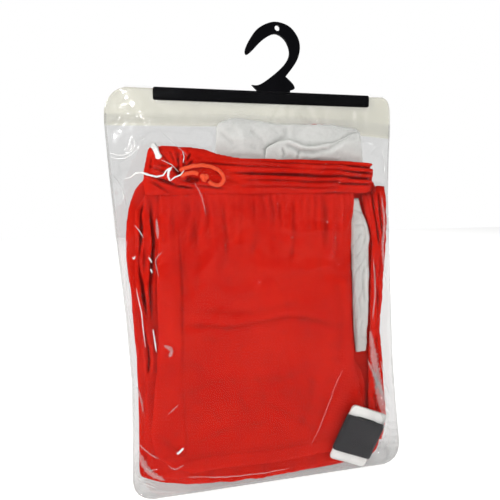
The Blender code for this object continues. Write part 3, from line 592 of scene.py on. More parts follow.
@dataclass
class FoldedCloth:
    """One cut and folded piece of cloth, shaped from the block that the frame gives for it."""

    node: str
    finish: NappedCloth
    flat: Point
    voxel: float = 1.6
    creases: tuple[Crease, ...] = ()
    ripple: Ripple = Ripple()
    facing: Facing = Facing.FRONT
    rests_on: tuple[str, ...] = ()
    relax: int = 4
    gathers: Gathers | None = None
    sway: float = 0.9
    raised_top: float = 0.0

    def copy_block(self) -> bpy.types.Object:
        """Copies the frame's block as a new object with a fine even mesh."""
        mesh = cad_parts[self.node].data.copy()
        mesh.name = f"{self.node}_cloth"
        mesh.materials.clear()
        piece = linked(mesh)
        select_only(piece)
        bpy.ops.object.mode_set(mode="EDIT")
        bpy.ops.mesh.select_all(action="SELECT")
        bpy.ops.mesh.remove_doubles(threshold=1e-5)
        bpy.ops.object.mode_set(mode="OBJECT")
        modify(piece, "REMESH", mode="VOXEL", voxel_size=self.voxel * MM)
        modify(piece, "SMOOTH", factor=0.5, iterations=self.relax)
        return piece

    def crumple(self, piece: bpy.types.Object) -> None:
        """Presses the creases, ripples and crumples into the shown side."""
        mesh = piece.data
        points, normals = read_vectors(mesh, "co"), read_vectors(mesh, "normal")
        count = len(points)
        shown = ease((normals[:, 1] * self.facing.value + SHAPED_PAST) / SHAPED_OVER)
        x, drop = points[:, 0] / MM, drops_of(points)
        r = self.ripple
        push = -r.height * bump_field(x, drop, r.size, r.seed)
        push += r.crumple * (ridge_field(x, drop, r.crumple_size, r.seed + 3.0) - 0.25)
        for crease in self.creases:
            push += crease.push(x, drop)
        if self.gathers:
            push += self.gathers.push(x, drop)
        points -= normals * (push * shown * MM)[:, None]
        points[:, 0] += self.sway * bump_field(np.full(count, 5.0 * r.seed), drop, SWAY_ACROSS, r.seed) * MM
        points[:, 2] += self.sway * bump_field(x, np.full(count, 3.0 * r.seed), SWAY_DOWN, r.seed + 6.0) * MM
        if self.raised_top:
            points[:, 2] += self.raised_top * ease(1 - (drop - float(drop.min())) / TOP_BAND) * MM
        mesh.vertices.foreach_set("co", points.reshape(-1))
        mesh.update()
        mesh.shade_smooth()
        self.mark_hollows(mesh, points)

    def mark_hollows(self, mesh: bpy.types.Mesh, points: np.ndarray) -> None:
        """Keeps on each point how deep it lies in a fold, which paints shade and light into the colour: 0 on a crest,
        and 1 in a deep fold.
        """
        count = len(points)
        ends = np.empty(2 * len(mesh.edges), int)
        mesh.edges.foreach_get("vertices", ends)
        first, second = ends[::2], ends[1::2]
        links = np.bincount(ends, minlength=count).astype(float)

        def blurred(values: np.ndarray) -> np.ndarray:
            """Each point's value, half way to the mean of its neighbours."""
            total = np.bincount(first, values[second], count) + np.bincount(second, values[first], count)
            return 0.5 * (values + total / links)

        smooth = points.copy()
        for _ in range(max(4, int((HOLLOW_REACH / self.voxel) ** 2))):
            for k in range(3):
                smooth[:, k] = blurred(smooth[:, k])
        depth = ((smooth - points) * read_vectors(mesh, "normal")).sum(axis=1) / MM
        for _ in range(3):
            depth = blurred(depth)
        layer = mesh.attributes.new(HOLLOW, "FLOAT", "POINT")
        layer.data.foreach_set("value", np.clip(HOLLOW_FLAT + depth / self.finish.fold, 0.0, 1.0))

    def make(self) -> bpy.types.Object:
        piece = self.copy_block()
        self.crumple(piece)
        piece.data.materials.append(made_once(self.finish))
        settle(piece, self.node)
        return piece


LEFT_ROLL_CREASES = (
    Crease(((-146.0, 96.7), (-143.5, 102.1), (-141.9, 110.0)), 3.8, 1.5),
    Crease(((-136.0, 89.5), (-139.9, 102.2), (-141.5, 112.0), (-143.0, 128.0)), 4.5, 1.4),
    Crease(((-144.5, 105.7), (-144.1, 123.9), (-143.6, 139.4), (-146.0, 158.0)), 4.2, 1.3),
    Crease(((-149.2, 142.7), (-152.0, 175.6), (-149.8, 192.3), (-150.6, 220.2)), 4.5, 1.5),
    Crease(((-143.9, 136.8), (-148.3, 173.9), (-143.6, 198.2), (-141.5, 220.8), (-140.1, 240.0)), 5.5, 1.5),
    Crease(((-147.8, 218.5), (-144.9, 243.2), (-141.7, 260.6), (-142.0, 282.0)), 4.5, 1.4),
    Crease(((-140.8, 256.6), (-139.3, 274.2), (-140.7, 291.4)), 5.8, 1.8),
    Crease(((-143.6, 290.9), (-145.2, 322.0), (-144.6, 340.0)), 3.8, 1.4),
    Crease(((-133.4, 114.0), (-133.0, 150.0), (-135.4, 205.0), (-136.6, 240.0)), 5.0, 1.4),
)

# The first two are the grooves of the side seam and the hem.
LEG_CREASES = (
    Crease(((-108.6, 112.0), (-104.6, 200.0), (-106.6, 290.0), (-103.6, 380.0)), 0.9, 0.9, 0.5, 0.03),
    Crease(((-130.0, 379.4), (-60.0, 381.4), (10.0, 382.4), (70.0, 383.4)), 0.9, 0.9, 0.5, 0.03),
    Crease(((-127.4, 107.7), (-127.6, 124.1), (-127.1, 139.8)), 1.3, 2.7),
    Crease(((-122.2, 262.2), (-114.8, 264.8), (-124.3, 271.7)), 0.7, 3.1),
    Crease(((-112.0, 118.0), (-104.0, 190.0), (-108.0, 262.0)), 1.0, 4.4),
    Crease(((-96.0, 114.0), (-88.0, 160.0), (-92.0, 214.0)), 0.8, 3.7),
    Crease(((-66.0, 112.0), (-58.0, 150.0), (-66.0, 196.0)), 1.0, 4.1),
    Crease(((-30.0, 110.0), (-26.0, 146.0), (-34.0, 176.0)), 0.8, 3.4),
    Crease(((12.0, 110.0), (16.0, 150.0), (8.0, 188.0)), 1.0, 4.1),
    Crease(((48.0, 110.0), (52.0, 140.0), (46.0, 170.0)), 0.7, 3.4),
    Crease(((-118.0, 236.0), (-60.0, 246.0), (10.0, 238.0), (74.0, 252.0)), 1.1, 3.7),
    Crease(((-90.0, 226.0), (-30.0, 232.0), (30.0, 222.0)), 0.7, 4.8),
    Crease(((-124.0, 318.0), (-70.0, 300.0), (0.0, 306.0), (40.0, 296.0)), 0.8, 5.1),
    Crease(((-100.0, 366.0), (-60.0, 354.0), (-10.0, 352.0)), 0.7, 4.4),
    Crease(((-134.0, 350.0), (-118.0, 366.0), (-100.0, 380.0)), 0.8, 3.4),
    Crease(((-20.0, 330.0), (20.0, 352.0), (44.0, 372.0)), 0.8, 4.1),
    Crease(((60.0, 190.0), (70.0, 236.0), (66.0, 290.0)), 0.7, 4.4),
    Crease(((14.0, 380.0), (34.0, 340.0), (40.0, 300.0)), 0.7, 4.8),
)

CASING_CREASES = (
    Crease(((-106.7, 70.2), (-106.0, 77.0), (-105.1, 85.1)), 2.4, 1.3),
    Crease(((-100.6, 63.2), (-100.4, 80.6)), 1.5, 1.0),
    Crease(((-90.1, 73.1), (-95.8, 77.7), (-101.0, 81.0)), 1.2, 1.0),
    Crease(((-136.2, 61.0), (-137.4, 74.0), (-137.8, 84.0)), 1.2, 1.2),
    Crease(((-132.1, 71.4), (-133.4, 86.2)), 1.2, 1.1),
    Crease(((-124.0, 66.5), (-118.0, 73.0), (-111.4, 80.7)), 1.5, 1.2),
    Crease(((-115.0, 62.5), (-111.0, 72.0), (-108.0, 80.0)), 1.2, 1.1),
    Crease(((-93.0, 66.0), (-97.0, 73.0), (-101.0, 79.0)), 1.0, 1.0),
    Crease(((-94.0, 76.0), (-59.9, 78.4), (-20.7, 80.1), (28.1, 82.0), (75.4, 83.7), (97.8, 84.9)), 1.7, 1.2, 0.55),
    Crease(((-60.0, 86.0), (-20.8, 87.7), (21.5, 88.6), (55.0, 90.6), (82.4, 90.0), (98.0, 91.0)), 1.5, 1.3, 0.55),
    Crease(((-40.0, 72.6), (2.0, 76.0), (41.4, 77.4), (96.3, 78.0)), 0.9, 1.1, 0.5),
    Crease(((-52.0, 93.0), (0.0, 94.0), (40.0, 96.0), (92.0, 96.0)), 1.1, 1.4, 0.5),
    Crease(((-54.0, 100.0), (0.0, 101.0), (50.0, 102.5), (94.0, 102.0)), 0.8, 1.2, 0.5),
    Crease(((78.0, 73.6), (100.0, 74.5), (112.0, 75.0)), 2.4, 1.1, 0.5),
    Crease(((70.0, 79.0), (100.0, 80.2), (112.0, 80.6)), 2.6, 1.1, 0.5),
    Crease(((64.0, 85.0), (98.0, 86.2), (112.0, 86.6)), 2.8, 1.2, 0.5),
    Crease(((72.0, 91.5), (98.0, 92.2), (112.0, 92.4)), 3.0, 1.3, 0.5),
    Crease(((60.0, 98.6), (96.0, 98.2), (112.0, 97.8)), 3.2, 1.3, 0.5),
    Crease(((-138.1, 85.1), (-127.2, 91.4), (-107.3, 98.7), (-88.8, 102.5)), 1.8, 1.4, 0.5),
    Crease(((-136.0, 79.0), (-122.0, 84.0), (-108.0, 87.0)), 1.0, 1.2),
    Crease(((-116.6, 102.3), (-101.8, 98.7), (-79.4, 103.5)), 1.3, 1.2),
    Crease(((-131.8, 94.8), (-120.2, 102.3), (-112.0, 107.6)), 1.4, 1.2),
    Crease(((-105.3, 91.3), (-84.0, 99.7), (-55.4, 102.6)), 1.6, 1.4, 0.5),
    Crease(((-108.6, 82.5), (-105.0, 86.0)), 4.0, 2.6, 0.25, 0.0),
    Crease(((-100.0, 90.5), (-92.0, 92.5), (-84.0, 94.5)), 3.2, 2.6, 0.3),
)

BRIM_CREASES = (
    Crease(((10.8, 32.0), (10.1, 46.3), (-1.7, 53.9), (-12.1, 61.4), (-9.0, 76.1)), 1.3, 3.2, 0.3),
    Crease(((-63.6, 43.0), (-53.9, 51.2), (-45.2, 58.2)), 0.7, 2.4, 0.5),
    Crease(((-56.0, 70.0), (-36.0, 68.0), (-14.0, 70.0)), 0.5, 2.4, 0.4),
    Crease(((-30.0, 40.0), (-20.0, 48.0), (-12.0, 58.0)), 0.5, 3.0, 0.4),
)

ROLL_CREASES = (
    Crease(((4.8, 56.2), (14.1, 57.3), (24.7, 62.8), (39.5, 63.8), (57.3, 60.5), (68.3, 52.8), (82.7, 41.4)),
           1.5, 2.4, 0.6, 0.12),
    Crease(((4.8, 57.9), (8.8, 68.3)), 1.0, 1.6),
    Crease(((24.7, 62.4), (22.0, 71.6)), 0.9, 1.6),
    Crease(((30.1, 73.3), (74.0, 72.4)), 0.8, 1.6),
)

TRIM_CREASES = (
    Crease(((92.8, 123.1), (98.0, 128.5), (101.1, 141.9), (103.7, 153.8), (101.6, 167.1)), 1.0, 2.0),
    Crease(((100.5, 182.1), (100.5, 212.2), (104.1, 235.3)), 1.0, 1.8),
)

SLEEVE_CREASES = (
    Crease(((106.5, 103.5), (111.0, 128.0), (117.0, 152.0), (119.6, 170.6)), 2.4, 1.5, 0.5),
    Crease(((114.0, 101.0), (118.0, 126.0), (121.5, 150.0), (124.3, 169.4)), 1.8, 1.5, 0.5),
    Crease(((102.0, 106.0), (107.0, 128.0), (113.0, 150.0)), 1.2, 1.2, 0.5),
    Crease(((114.3, 180.4), (115.3, 205.2), (118.8, 236.0)), 1.4, 1.6, 0.5),
    Crease(((121.4, 172.4), (119.7, 197.9), (118.5, 236.4), (117.0, 262.0)), 1.2, 1.5, 0.5),
    Crease(((116.0, 262.0), (120.0, 300.0), (116.0, 344.0)), 1.4, 1.8, 0.5),
    Crease(((112.0, 330.0), (120.0, 362.0), (124.0, 380.0)), 1.2, 1.6, 0.5),
)

REAR_CREASES = (
    Crease(((-110.0, 150.0), (-40.0, 170.0), (60.0, 160.0)), 1.2, 3.0),
    Crease(((20.0, 210.0), (70.0, 260.0), (100.0, 320.0)), 1.3, 3.0),
    Crease(((60.0, 110.0), (72.0, 190.0), (60.0, 280.0)), 1.1, 2.6),
    Crease(((-120.0, 240.0), (-112.0, 300.0), (-118.0, 350.0)), 1.2, 2.6),
    Crease(((10.0, 330.0), (60.0, 346.0), (108.0, 340.0)), 1.0, 2.4),
)


@dataclass
class FoldedSuit:
    """Trousers, jacket and hat, folded flat in layers."""

    pieces: tuple[FoldedCloth, ...] = (
        FoldedCloth("jacket_back_panel", RED_FELT, (260, 327), 2.4, REAR_CREASES,
                    Ripple((70, 90), 0.9, (34, 40), 0.8, 4.0), Facing.REAR),
        FoldedCloth("jacket_front_panel", RED_FELT, (276, 328), 2.2, (), Ripple((60, 80), 0.5, (26, 34), 0.5, 9.0)),
        FoldedCloth("jacket_hem_trim", WHITE_FLEECE, (254, 36), 1.1, (), Ripple((30, 20), 0.5, (14, 10), 0.4, 12.0),
                    Facing.REAR, ("jacket_back_panel",)),
        FoldedCloth("jacket_rear_sleeve", RED_FELT, (76, 191), 1.3, (), Ripple((30, 60), 0.7, (18, 26), 0.6, 15.0),
                    Facing.REAR, ("jacket_back_panel",)),
        FoldedCloth("jacket_cuff", WHITE_FLEECE, (90, 57), 1.2, (), Ripple((30, 26), 0.6, (16, 14), 0.4, 18.0),
                    Facing.REAR, ("jacket_back_panel",)),
        FoldedCloth("jacket_front_trim", WHITE_FLEECE, (20, 174), 0.9, TRIM_CREASES,
                    Ripple((14, 34), 1.0, (10, 18), 0.8, 21.0), rests_on=("jacket_front_panel",)),
        FoldedCloth("jacket_sleeve_fold", RED_FELT, (16, 293), 1.1, SLEEVE_CREASES,
                    Ripple((14, 40), 0.9, (10, 18), 0.8, 24.0), rests_on=("jacket_front_panel",)),
        FoldedCloth("trouser_inner_folds", RED_FELT, (240, 308), 1.7, LEFT_ROLL_CREASES,
                    Ripple((22, 60), 0.9, (12, 22), 0.8, 27.0), rests_on=("jacket_front_panel",), raised_top=3.0,
                    sway=1.6),
        FoldedCloth("trouser_front_leg", RED_FELT, (222, 288), 1.5, LEG_CREASES,
                    Ripple((44, 84), 1.9, (40, 60), 0.5, 30.0), rests_on=("trouser_inner_folds",),
                    gathers=Gathers(106.0, 110.0, 19.0, 2.6, 50.0), raised_top=3.4, sway=1.3),
        FoldedCloth("waist_casing_rear", RED_FELT, (236, 36), 1.2, (), Ripple((40, 12), 0.4, (20, 9), 0.4, 33.0),
                    rests_on=("trouser_inner_folds",)),
        FoldedCloth("waist_casing_front", RED_FELT, (240, 38), 1.0, CASING_CREASES,
                    Ripple((46, 11), 0.8, (34, 8), 0.6, 36.0), rests_on=("trouser_inner_folds",)),
        FoldedCloth("hat_cone", RED_FELT, (74, 54), 0.9, (), Ripple((20, 20), 0.2, (12, 12), 0.2, 39.0)),
        FoldedCloth("hat_brim", WHITE_FLEECE, (162, 70), 1.0, BRIM_CREASES, Ripple((34, 26), 1.2, (26, 22), 0.25, 42.0),
                    rests_on=("hat_cone",)),
        FoldedCloth("hat_brim_roll", WHITE_FLEECE, (108, 48), 0.9, ROLL_CREASES,
                    Ripple((26, 18), 1.0, (22, 16), 0.2, 45.0), rests_on=("hat_brim",)),
    )

    def make(self) -> dict[str, bpy.types.Object]:
        """Builds every cloth piece, under its node's name."""
        return {piece.node: piece.make() for piece in self.pieces}


@dataclass(frozen=True)
class Seam:
    """One line of stitches on a cloth piece, as x and drop in millimetres."""

    node: str
    route: tuple[Point, ...]
    thread: BraidedYarn
    facing: Facing = Facing.FRONT


SEAMS = (
    Seam("waist_casing_front", ((-60.0, 75.6), (-20.7, 77.4), (28.1, 79.4), (75.4, 81.0), (98.0, 82.0)), RED_THREAD),
    Seam("waist_casing_front", ((-58.0, 97.6), (-10.0, 98.2), (40.0, 99.2), (94.0, 99.6)), RED_THREAD),
    Seam("trouser_front_leg", ((-126.0, 376.0), (-60.0, 378.0), (10.0, 379.0), (62.0, 380.0)), RED_THREAD),
    Seam("trouser_front_leg", ((-107.0, 116.0), (-103.0, 200.0), (-105.0, 290.0), (-102.0, 372.0)), RED_THREAD),
    Seam("jacket_front_trim", ((88.6, 128.0), (89.0, 170.0), (91.0, 230.0), (95.6, 280.0)), WHITE_THREAD),
    Seam("jacket_hem_trim", ((-118.0, 375.6), (-40.0, 376.0), (40.0, 376.4), (116.0, 376.0)), WHITE_THREAD,
         Facing.REAR),
    Seam("jacket_hem_trim", ((-118.0, 402.0), (-40.0, 402.4), (40.0, 402.6), (116.0, 402.0)), WHITE_THREAD,
         Facing.REAR),
    Seam("jacket_back_panel", ((2.0, 140.0), (3.0, 210.0), (1.0, 290.0), (2.0, 366.0)), RED_THREAD, Facing.REAR),
)


@dataclass
class SewnSeams:
    """Short raised stitches that lie in a line on the dressed cloth."""

    cloth: dict[str, bpy.types.Object]
    seams: tuple[Seam, ...] = SEAMS
    length: float = 2.5
    pitch: float = 3.7
    radius: float = 0.36
    stand_off: float = 0.10
    most_stretch: float = 1.6

    def one_stitch(self) -> tuple[np.ndarray, list[tuple[int, ...]]]:
        """Points and faces of one stitch, lying along X, in metres."""
        bpy.ops.object.select_all(action="DESELECT")
        bpy.ops.mesh.primitive_uv_sphere_add(segments=8, ring_count=6, radius=1.0, rotation=(0.0, 0.5 * math.pi, 0.0))
        stitch = bpy.context.object
        stitch.scale = (self.radius * MM, self.radius * MM, 0.5 * self.length * MM)
        bpy.ops.object.transform_apply(location=False, rotation=True, scale=True)
        points = np.array([vert.co for vert in stitch.data.vertices])
        faces = [tuple(face.vertices) for face in stitch.data.polygons]
        mesh = stitch.data
        bpy.data.objects.remove(stitch)
        bpy.data.meshes.remove(mesh)
        return points, faces

    def stops(self, seam: Seam) -> list[tuple[Point, Point]]:
        """Both ends of each stitch along a seam, as x and drop in millimetres."""
        route = np.array(seam.route)
        run = run_along(route)
        return [tuple((float(np.interp(at, run, route[:, 0])), float(np.interp(at, run, route[:, 1])))
                      for at in (start, start + self.length))
                for start in np.arange(0.0, run[-1] - self.length, self.pitch)]

    def sew(self, seam: Seam, index: int) -> bpy.types.Object | None:
        """Builds one seam's stitches on its cloth, skipping those with no cloth under them."""
        graph = bpy.context.evaluated_depsgraph_get()
        tree = BVHTree.FromObject(self.cloth[seam.node], graph)
        side = seam.facing.value
        base, base_faces = self.one_stitch()
        verts: list[np.ndarray] = []
        faces: list[tuple[int, ...]] = []
        for stop in self.stops(seam):
            met = [tree.ray_cast(Vector((x * MM, side, z_of(drop))), Vector((0.0, -side, 0.0)))[0]
                   for x, drop in stop]
            if None in met or (met[1] - met[0]).length > self.most_stretch * self.length * MM:
                continue
            along = (met[1] - met[0]).normalized()
            out = Vector((0.0, side, 0.0))
            across = along.cross(out).normalized()
            out = across.cross(along)
            turn = np.array([along, out, across])
            middle = np.array(0.5 * (met[0] + met[1]) + self.stand_off * MM * out)
            first = sum(len(part) for part in verts)
            verts.append(base @ turn + middle)
            faces += [tuple(first + i for i in face) for face in base_faces]
        if not verts:
            return None
        piece = closed_piece(f"{seam.node}_stitches_{index}", [tuple(v) for v in np.concatenate(verts)], faces,
                             seam.thread)
        settle(piece)
        return piece

    def make(self) -> list[bpy.types.Object]:
        """Sews every seam."""
        return [piece for piece in (self.sew(seam, index) for index, seam in enumerate(self.seams)) if piece]


# ---------------------------------------------------------------------------------------------
# Drawstring
# ---------------------------------------------------------------------------------------------

LOOP_ROUTE = (
    (-104.6, 84.2, -23.2), (-101.5, 82.6, -25.4), (-96, 80.8, -26.4), (-89, 79.6, -26.2), (-81, 79.4, -25.8),
    (-72.5, 81.2, -25.2), (-66, 84.8, -25.2), (-62.2, 89.6, -25.2), (-62, 94.2, -25.2), (-64.8, 97.8, -25.4),
    (-69.6, 98.8, -26.0), (-74, 97.2, -26.8), (-77, 95, -27.2),
)
SHORT_ROUTE = (
    (-104.2, 89.4, -24.2), (-101, 88.2, -25.2), (-96.6, 86.8, -25.8), (-92, 86.4, -25.6), (-87.4, 87.8, -26.2),
)


@dataclass
class Drawstring:
    """The waist cord: a braided loop and a short end that leave the casing and meet in one knot."""

    radius: float = 2.0
    strands: int = 3
    lay_length: float = 9.0
    around: int = 20
    swell: float = 0.10
    steps: int = 24
    knot_centre: tuple[float, float, float] = (-81.6, 91.2, -27.4)
    knot_size: tuple[float, float, float] = (1.15, 1.05, 1.05)
    knot_points: int = 72

    def centreline(self, route: tuple[tuple[float, float, float], ...], step: float = 0.45) -> np.ndarray:
        """A soft curve through a route, in metres, with points evenly apart."""
        points = [Vector((x * MM, y * MM, z_of(drop))) for x, drop, y in route]
        dense: list[Vector] = []
        for i in range(len(points) - 1):
            p0, p1 = points[max(i - 1, 0)], points[i]
            p2, p3 = points[i + 1], points[min(i + 2, len(points) - 1)]
            for k in range(self.steps):
                t = k / self.steps
                dense.append(0.5 * (2 * p1 + (p2 - p0) * t + (2 * p0 - 5 * p1 + 4 * p2 - p3) * t * t
                                    + (3 * p1 - p0 - 3 * p2 + p3) * t ** 3))
        dense.append(points[-1])
        line = np.array(dense)
        run = run_along(line)
        at = np.linspace(0.0, run[-1], max(12, int(run[-1] / (step * MM))))
        return np.stack([np.interp(at, run, line[:, k]) for k in range(3)], axis=1)

    def braid(self, name: str, line: np.ndarray) -> bpy.types.Object:
        """A round tube along a line, with its strands as spiral ridges, closed at both ends."""
        tangents = np.gradient(line, axis=0)
        tangents /= np.linalg.norm(tangents, axis=1)[:, None]
        up = np.array([0.0, -1.0, 0.0])
        verts: list[tuple[float, ...]] = []
        for point, along, run in zip(line, tangents, run_along(line)):
            side = np.cross(along, up)
            side /= np.linalg.norm(side)
            top = np.cross(side, along)
            for k in range(self.around):
                angle = math.tau * k / self.around
                twist = self.strands * angle - math.tau * run / (self.lay_length * MM)
                back = self.strands * angle + math.tau * run / (self.lay_length * MM)
                radius = self.radius * MM * (1 - self.swell + self.swell * max(math.cos(twist), math.cos(back)))
                verts.append(tuple(point + radius * (math.cos(angle) * side + math.sin(angle) * top)))
        return closed_piece(name, verts, tube_faces(len(line), self.around), CORD_YARN)

    def knot(self) -> bpy.types.Object:
        """An overhand knot: one closed turn of the same cord pulled tight round itself."""
        x, drop, y = self.knot_centre
        centre = np.array([x * MM, y * MM, z_of(drop)])
        wide, deep, tall = self.knot_size
        turns = []
        for i in range(self.knot_points):
            a = math.tau * i / self.knot_points
            turns.append(centre + MM * np.array([
                wide * (math.sin(a) + 1.5 * math.sin(2 * a)),
                -deep * math.sin(3 * a),
                tall * (math.cos(a) - 1.5 * math.cos(2 * a)),
            ]))
        return self.braid("drawstring_knot_turns", np.array([*turns, turns[0]]))

    def make(self) -> list[bpy.types.Object]:
        loop_line = self.centreline(LOOP_ROUTE)
        loop = self.braid("drawstring_loop_cord", loop_line)
        short = self.braid("drawstring_end_cord", self.centreline(SHORT_ROUTE))
        knot = self.knot()
        made = [loop, short, knot]
        for cord, node in zip(made, ("drawstring_loop", "drawstring_end", "drawstring_knot")):
            settle(cord, node)
        return made


# ---------------------------------------------------------------------------------------------
# Belt
# ---------------------------------------------------------------------------------------------


# Each run of the strap: its node, how deep it lies, its width and its thickness.
STRAP_RUNS = (("belt_strap_front", -2.9, 51.0, 3.0), ("belt_strap_rear", 2.9, 49.0, 2.6))


@dataclass
class WoundBelt:
    """The belt: a flat strap wound round its buckle, with the frame's two bars standing out."""

    width: float = 43.6
    turn: float = math.radians(23)
    lean: float = math.radians(6.5)
    centre: tuple[float, float, float] = (92.4, -18.9, 382.0)
    buckle_bar: float = 11.0
    buckle_width: float = 47.0
    buckle_thickness: float = 2.4
    buckle_gap: float = 0.7
    buckle_side: float = 8.0
    buckle_corner: float = 4.5
    buckle_rim: float = 0.9
    strap_cuts: int = 15
    fold_round: float = 4.0
    fold_back: float = 1.5
    edge_round: float = 1.6
    line_inset: float = 3.2
    line_half: float = 0.5
    line_deep: float = 0.25
    sag: float = 0.35
    sharp_angle: float = math.radians(40)

    def placed(self) -> Matrix:
        """The belt's own frame: X across its bars, Z up the strap's width, Y out of the pack."""
        x, y, drop = self.centre
        return (Matrix.Translation(Vector((x * MM, y * MM, z_of(drop)))) @ Matrix.Rotation(self.lean, 4, "X")
                @ Matrix.Rotation(self.turn, 4, "Y"))

    def strap(self) -> list[bpy.types.Object]:
        """Front and rear runs of the strap, each with rounded folds and pressed edge lines."""
        made = []
        for node, depth, wide, thick in STRAP_RUNS:
            bpy.ops.object.select_all(action="DESELECT")
            bpy.ops.mesh.primitive_cube_add(size=1.0)
            piece = bpy.context.object
            piece.name = f"{node}_coated"
            piece.scale = (wide * MM, thick * MM, self.width * MM)
            bpy.ops.object.transform_apply(location=False, rotation=False, scale=True)
            bpy.ops.object.mode_set(mode="EDIT")
            bpy.ops.mesh.select_all(action="SELECT")
            bpy.ops.mesh.subdivide(number_cuts=self.strap_cuts)
            bpy.ops.object.mode_set(mode="OBJECT")
            half, tall = 0.5 * wide * MM, 0.5 * self.width * MM
            out = -1.0 if depth < 0 else 1.0
            for vert in piece.data.vertices:
                co = vert.co
                edge = max(0.0, 1 - (half - abs(co.x)) / (self.fold_round * MM))
                round_off = 1 - math.sqrt(max(1 - edge * edge, 0.0))
                lip = max(0.0, 1 - (tall - abs(co.z)) / (self.edge_round * MM))
                share = co.y / (0.5 * thick * MM)
                line = math.exp(-(((tall - abs(co.z)) / MM - self.line_inset) / self.line_half) ** 2)
                wave = 0.35 * math.sin(co.x / MM * 0.09 + 0.8) + 0.2 * math.sin(co.z / MM * 0.13)
                y = co.y * (1 - 0.7 * round_off) * (1 - 0.35 * lip * lip) - out * self.fold_back * MM * round_off
                if share * out > 0.9:
                    y -= out * self.line_deep * MM * line
                y += out * self.sag * MM * wave * (share * out > -0.5)
                co.y = y + depth * MM
            piece.data.transform(self.placed())
            self.finish_piece(piece, node, BLACK_STRAP, 2)
            made.append(piece)
        return made

    def buckle(self) -> bpy.types.Object:
        """The white frame, rounded on all its bars."""
        bpy.ops.object.select_all(action="DESELECT")
        tall = self.width + 2 * self.buckle_gap + 2 * self.buckle_bar
        bpy.ops.mesh.primitive_plane_add(size=1.0, rotation=(0.5 * math.pi, 0.0, 0.0))
        piece = bpy.context.object
        piece.name = "belt_buckle_frame"
        piece.scale = (self.buckle_width * MM, tall * MM, 1.0)
        bpy.ops.object.transform_apply(location=False, rotation=True, scale=True)
        bpy.ops.object.mode_set(mode="EDIT")
        bpy.ops.mesh.select_all(action="SELECT")
        bpy.ops.mesh.inset(thickness=self.buckle_side * MM)
        bpy.ops.object.mode_set(mode="OBJECT")
        inner = (0.5 * self.buckle_width - self.buckle_side + 0.1) * MM
        for vert in piece.data.vertices:
            if abs(vert.co.x) <= inner:
                vert.co.z = math.copysign((0.5 * self.width + self.buckle_gap) * MM, vert.co.z)
        bpy.ops.object.mode_set(mode="EDIT")
        bpy.ops.mesh.select_all(action="DESELECT")
        bpy.ops.object.mode_set(mode="OBJECT")
        hole = min(piece.data.polygons, key=lambda face: max(abs(piece.data.vertices[v].co.x) for v in face.vertices))
        hole.select = True
        bpy.ops.object.mode_set(mode="EDIT")
        bpy.ops.mesh.delete(type="FACE")
        bpy.ops.object.mode_set(mode="OBJECT")
        modify(piece, "BEVEL", affect="VERTICES", width=self.buckle_corner * MM, segments=6)
        modify(piece, "SOLIDIFY", thickness=self.buckle_thickness * MM, offset=0.0)
        modify(piece, "BEVEL", width=self.buckle_rim * MM, segments=4, limit_method="ANGLE",
               angle_limit=self.sharp_angle)
        piece.data.transform(self.placed())
        self.finish_piece(piece, "belt_buckle", BUCKLE_PLASTIC, 0)
        return piece

    def finish_piece(self, piece: bpy.types.Object, node: str, finish: Finish, levels: int) -> None:
        """Smooths one belt piece, gives it its material and puts it in its node's place."""
        select_only(piece)
        if levels:
            modify(piece, "SUBSURF", levels=levels, render_levels=levels)
            piece.data.shade_smooth()
        else:
            bpy.ops.object.shade_smooth_by_angle(angle=self.sharp_angle)
        piece.data.materials.clear()
        piece.data.materials.append(made_once(finish))
        settle(piece, node)

    def make(self) -> list[bpy.types.Object]:
        """Builds the strap's runs and the buckle."""
        return [*self.strap(), self.buckle()]


# ---------------------------------------------------------------------------------------------
# Hanger and bag
# ---------------------------------------------------------------------------------------------


@dataclass
class FlatHanger:
    """The black bar and hook, which keep the frame's own shape under a moulded finish."""

    nodes: tuple[str, ...] = ("hanger_bar", "hanger_hook")

    def make(self) -> None:
        """Gives both nodes the moulded black plastic."""
        for name in self.nodes:
            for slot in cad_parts[name].material_slots:
                slot.material = made_once(HANGER_PLASTIC)
            LOG.info("%s: finished", name)


BAG_EDGE = (
    (1, -150, 124), (3, -158, 129.5), (7, -165, 133.5), (14, -171, 135.5), (24, -174.5, 136), (45, -175, 136),
    (73, -173, 135), (110, -170, 135), (163, -166, 138), (232, -160, 141), (302, -156, 145), (356, -157, 150),
    (407, -158.5, 156), (417, -157, 154.5), (424, -152.5, 150.5), (429, -145, 143), (431, -137, 136),
)

FLAP_SLANT = ((0.0, 0.37, 0.60, 1.0), (8.7, 10.4, 11.4, 0.8))

# Drop and depth of the flap's rows where it turns over the bar.
FLAP_FOLD = ((0.95, 2.0), (0.55, 1.5), (0.4, 0.0), (0.55, -1.5), (1.3, -2.1))

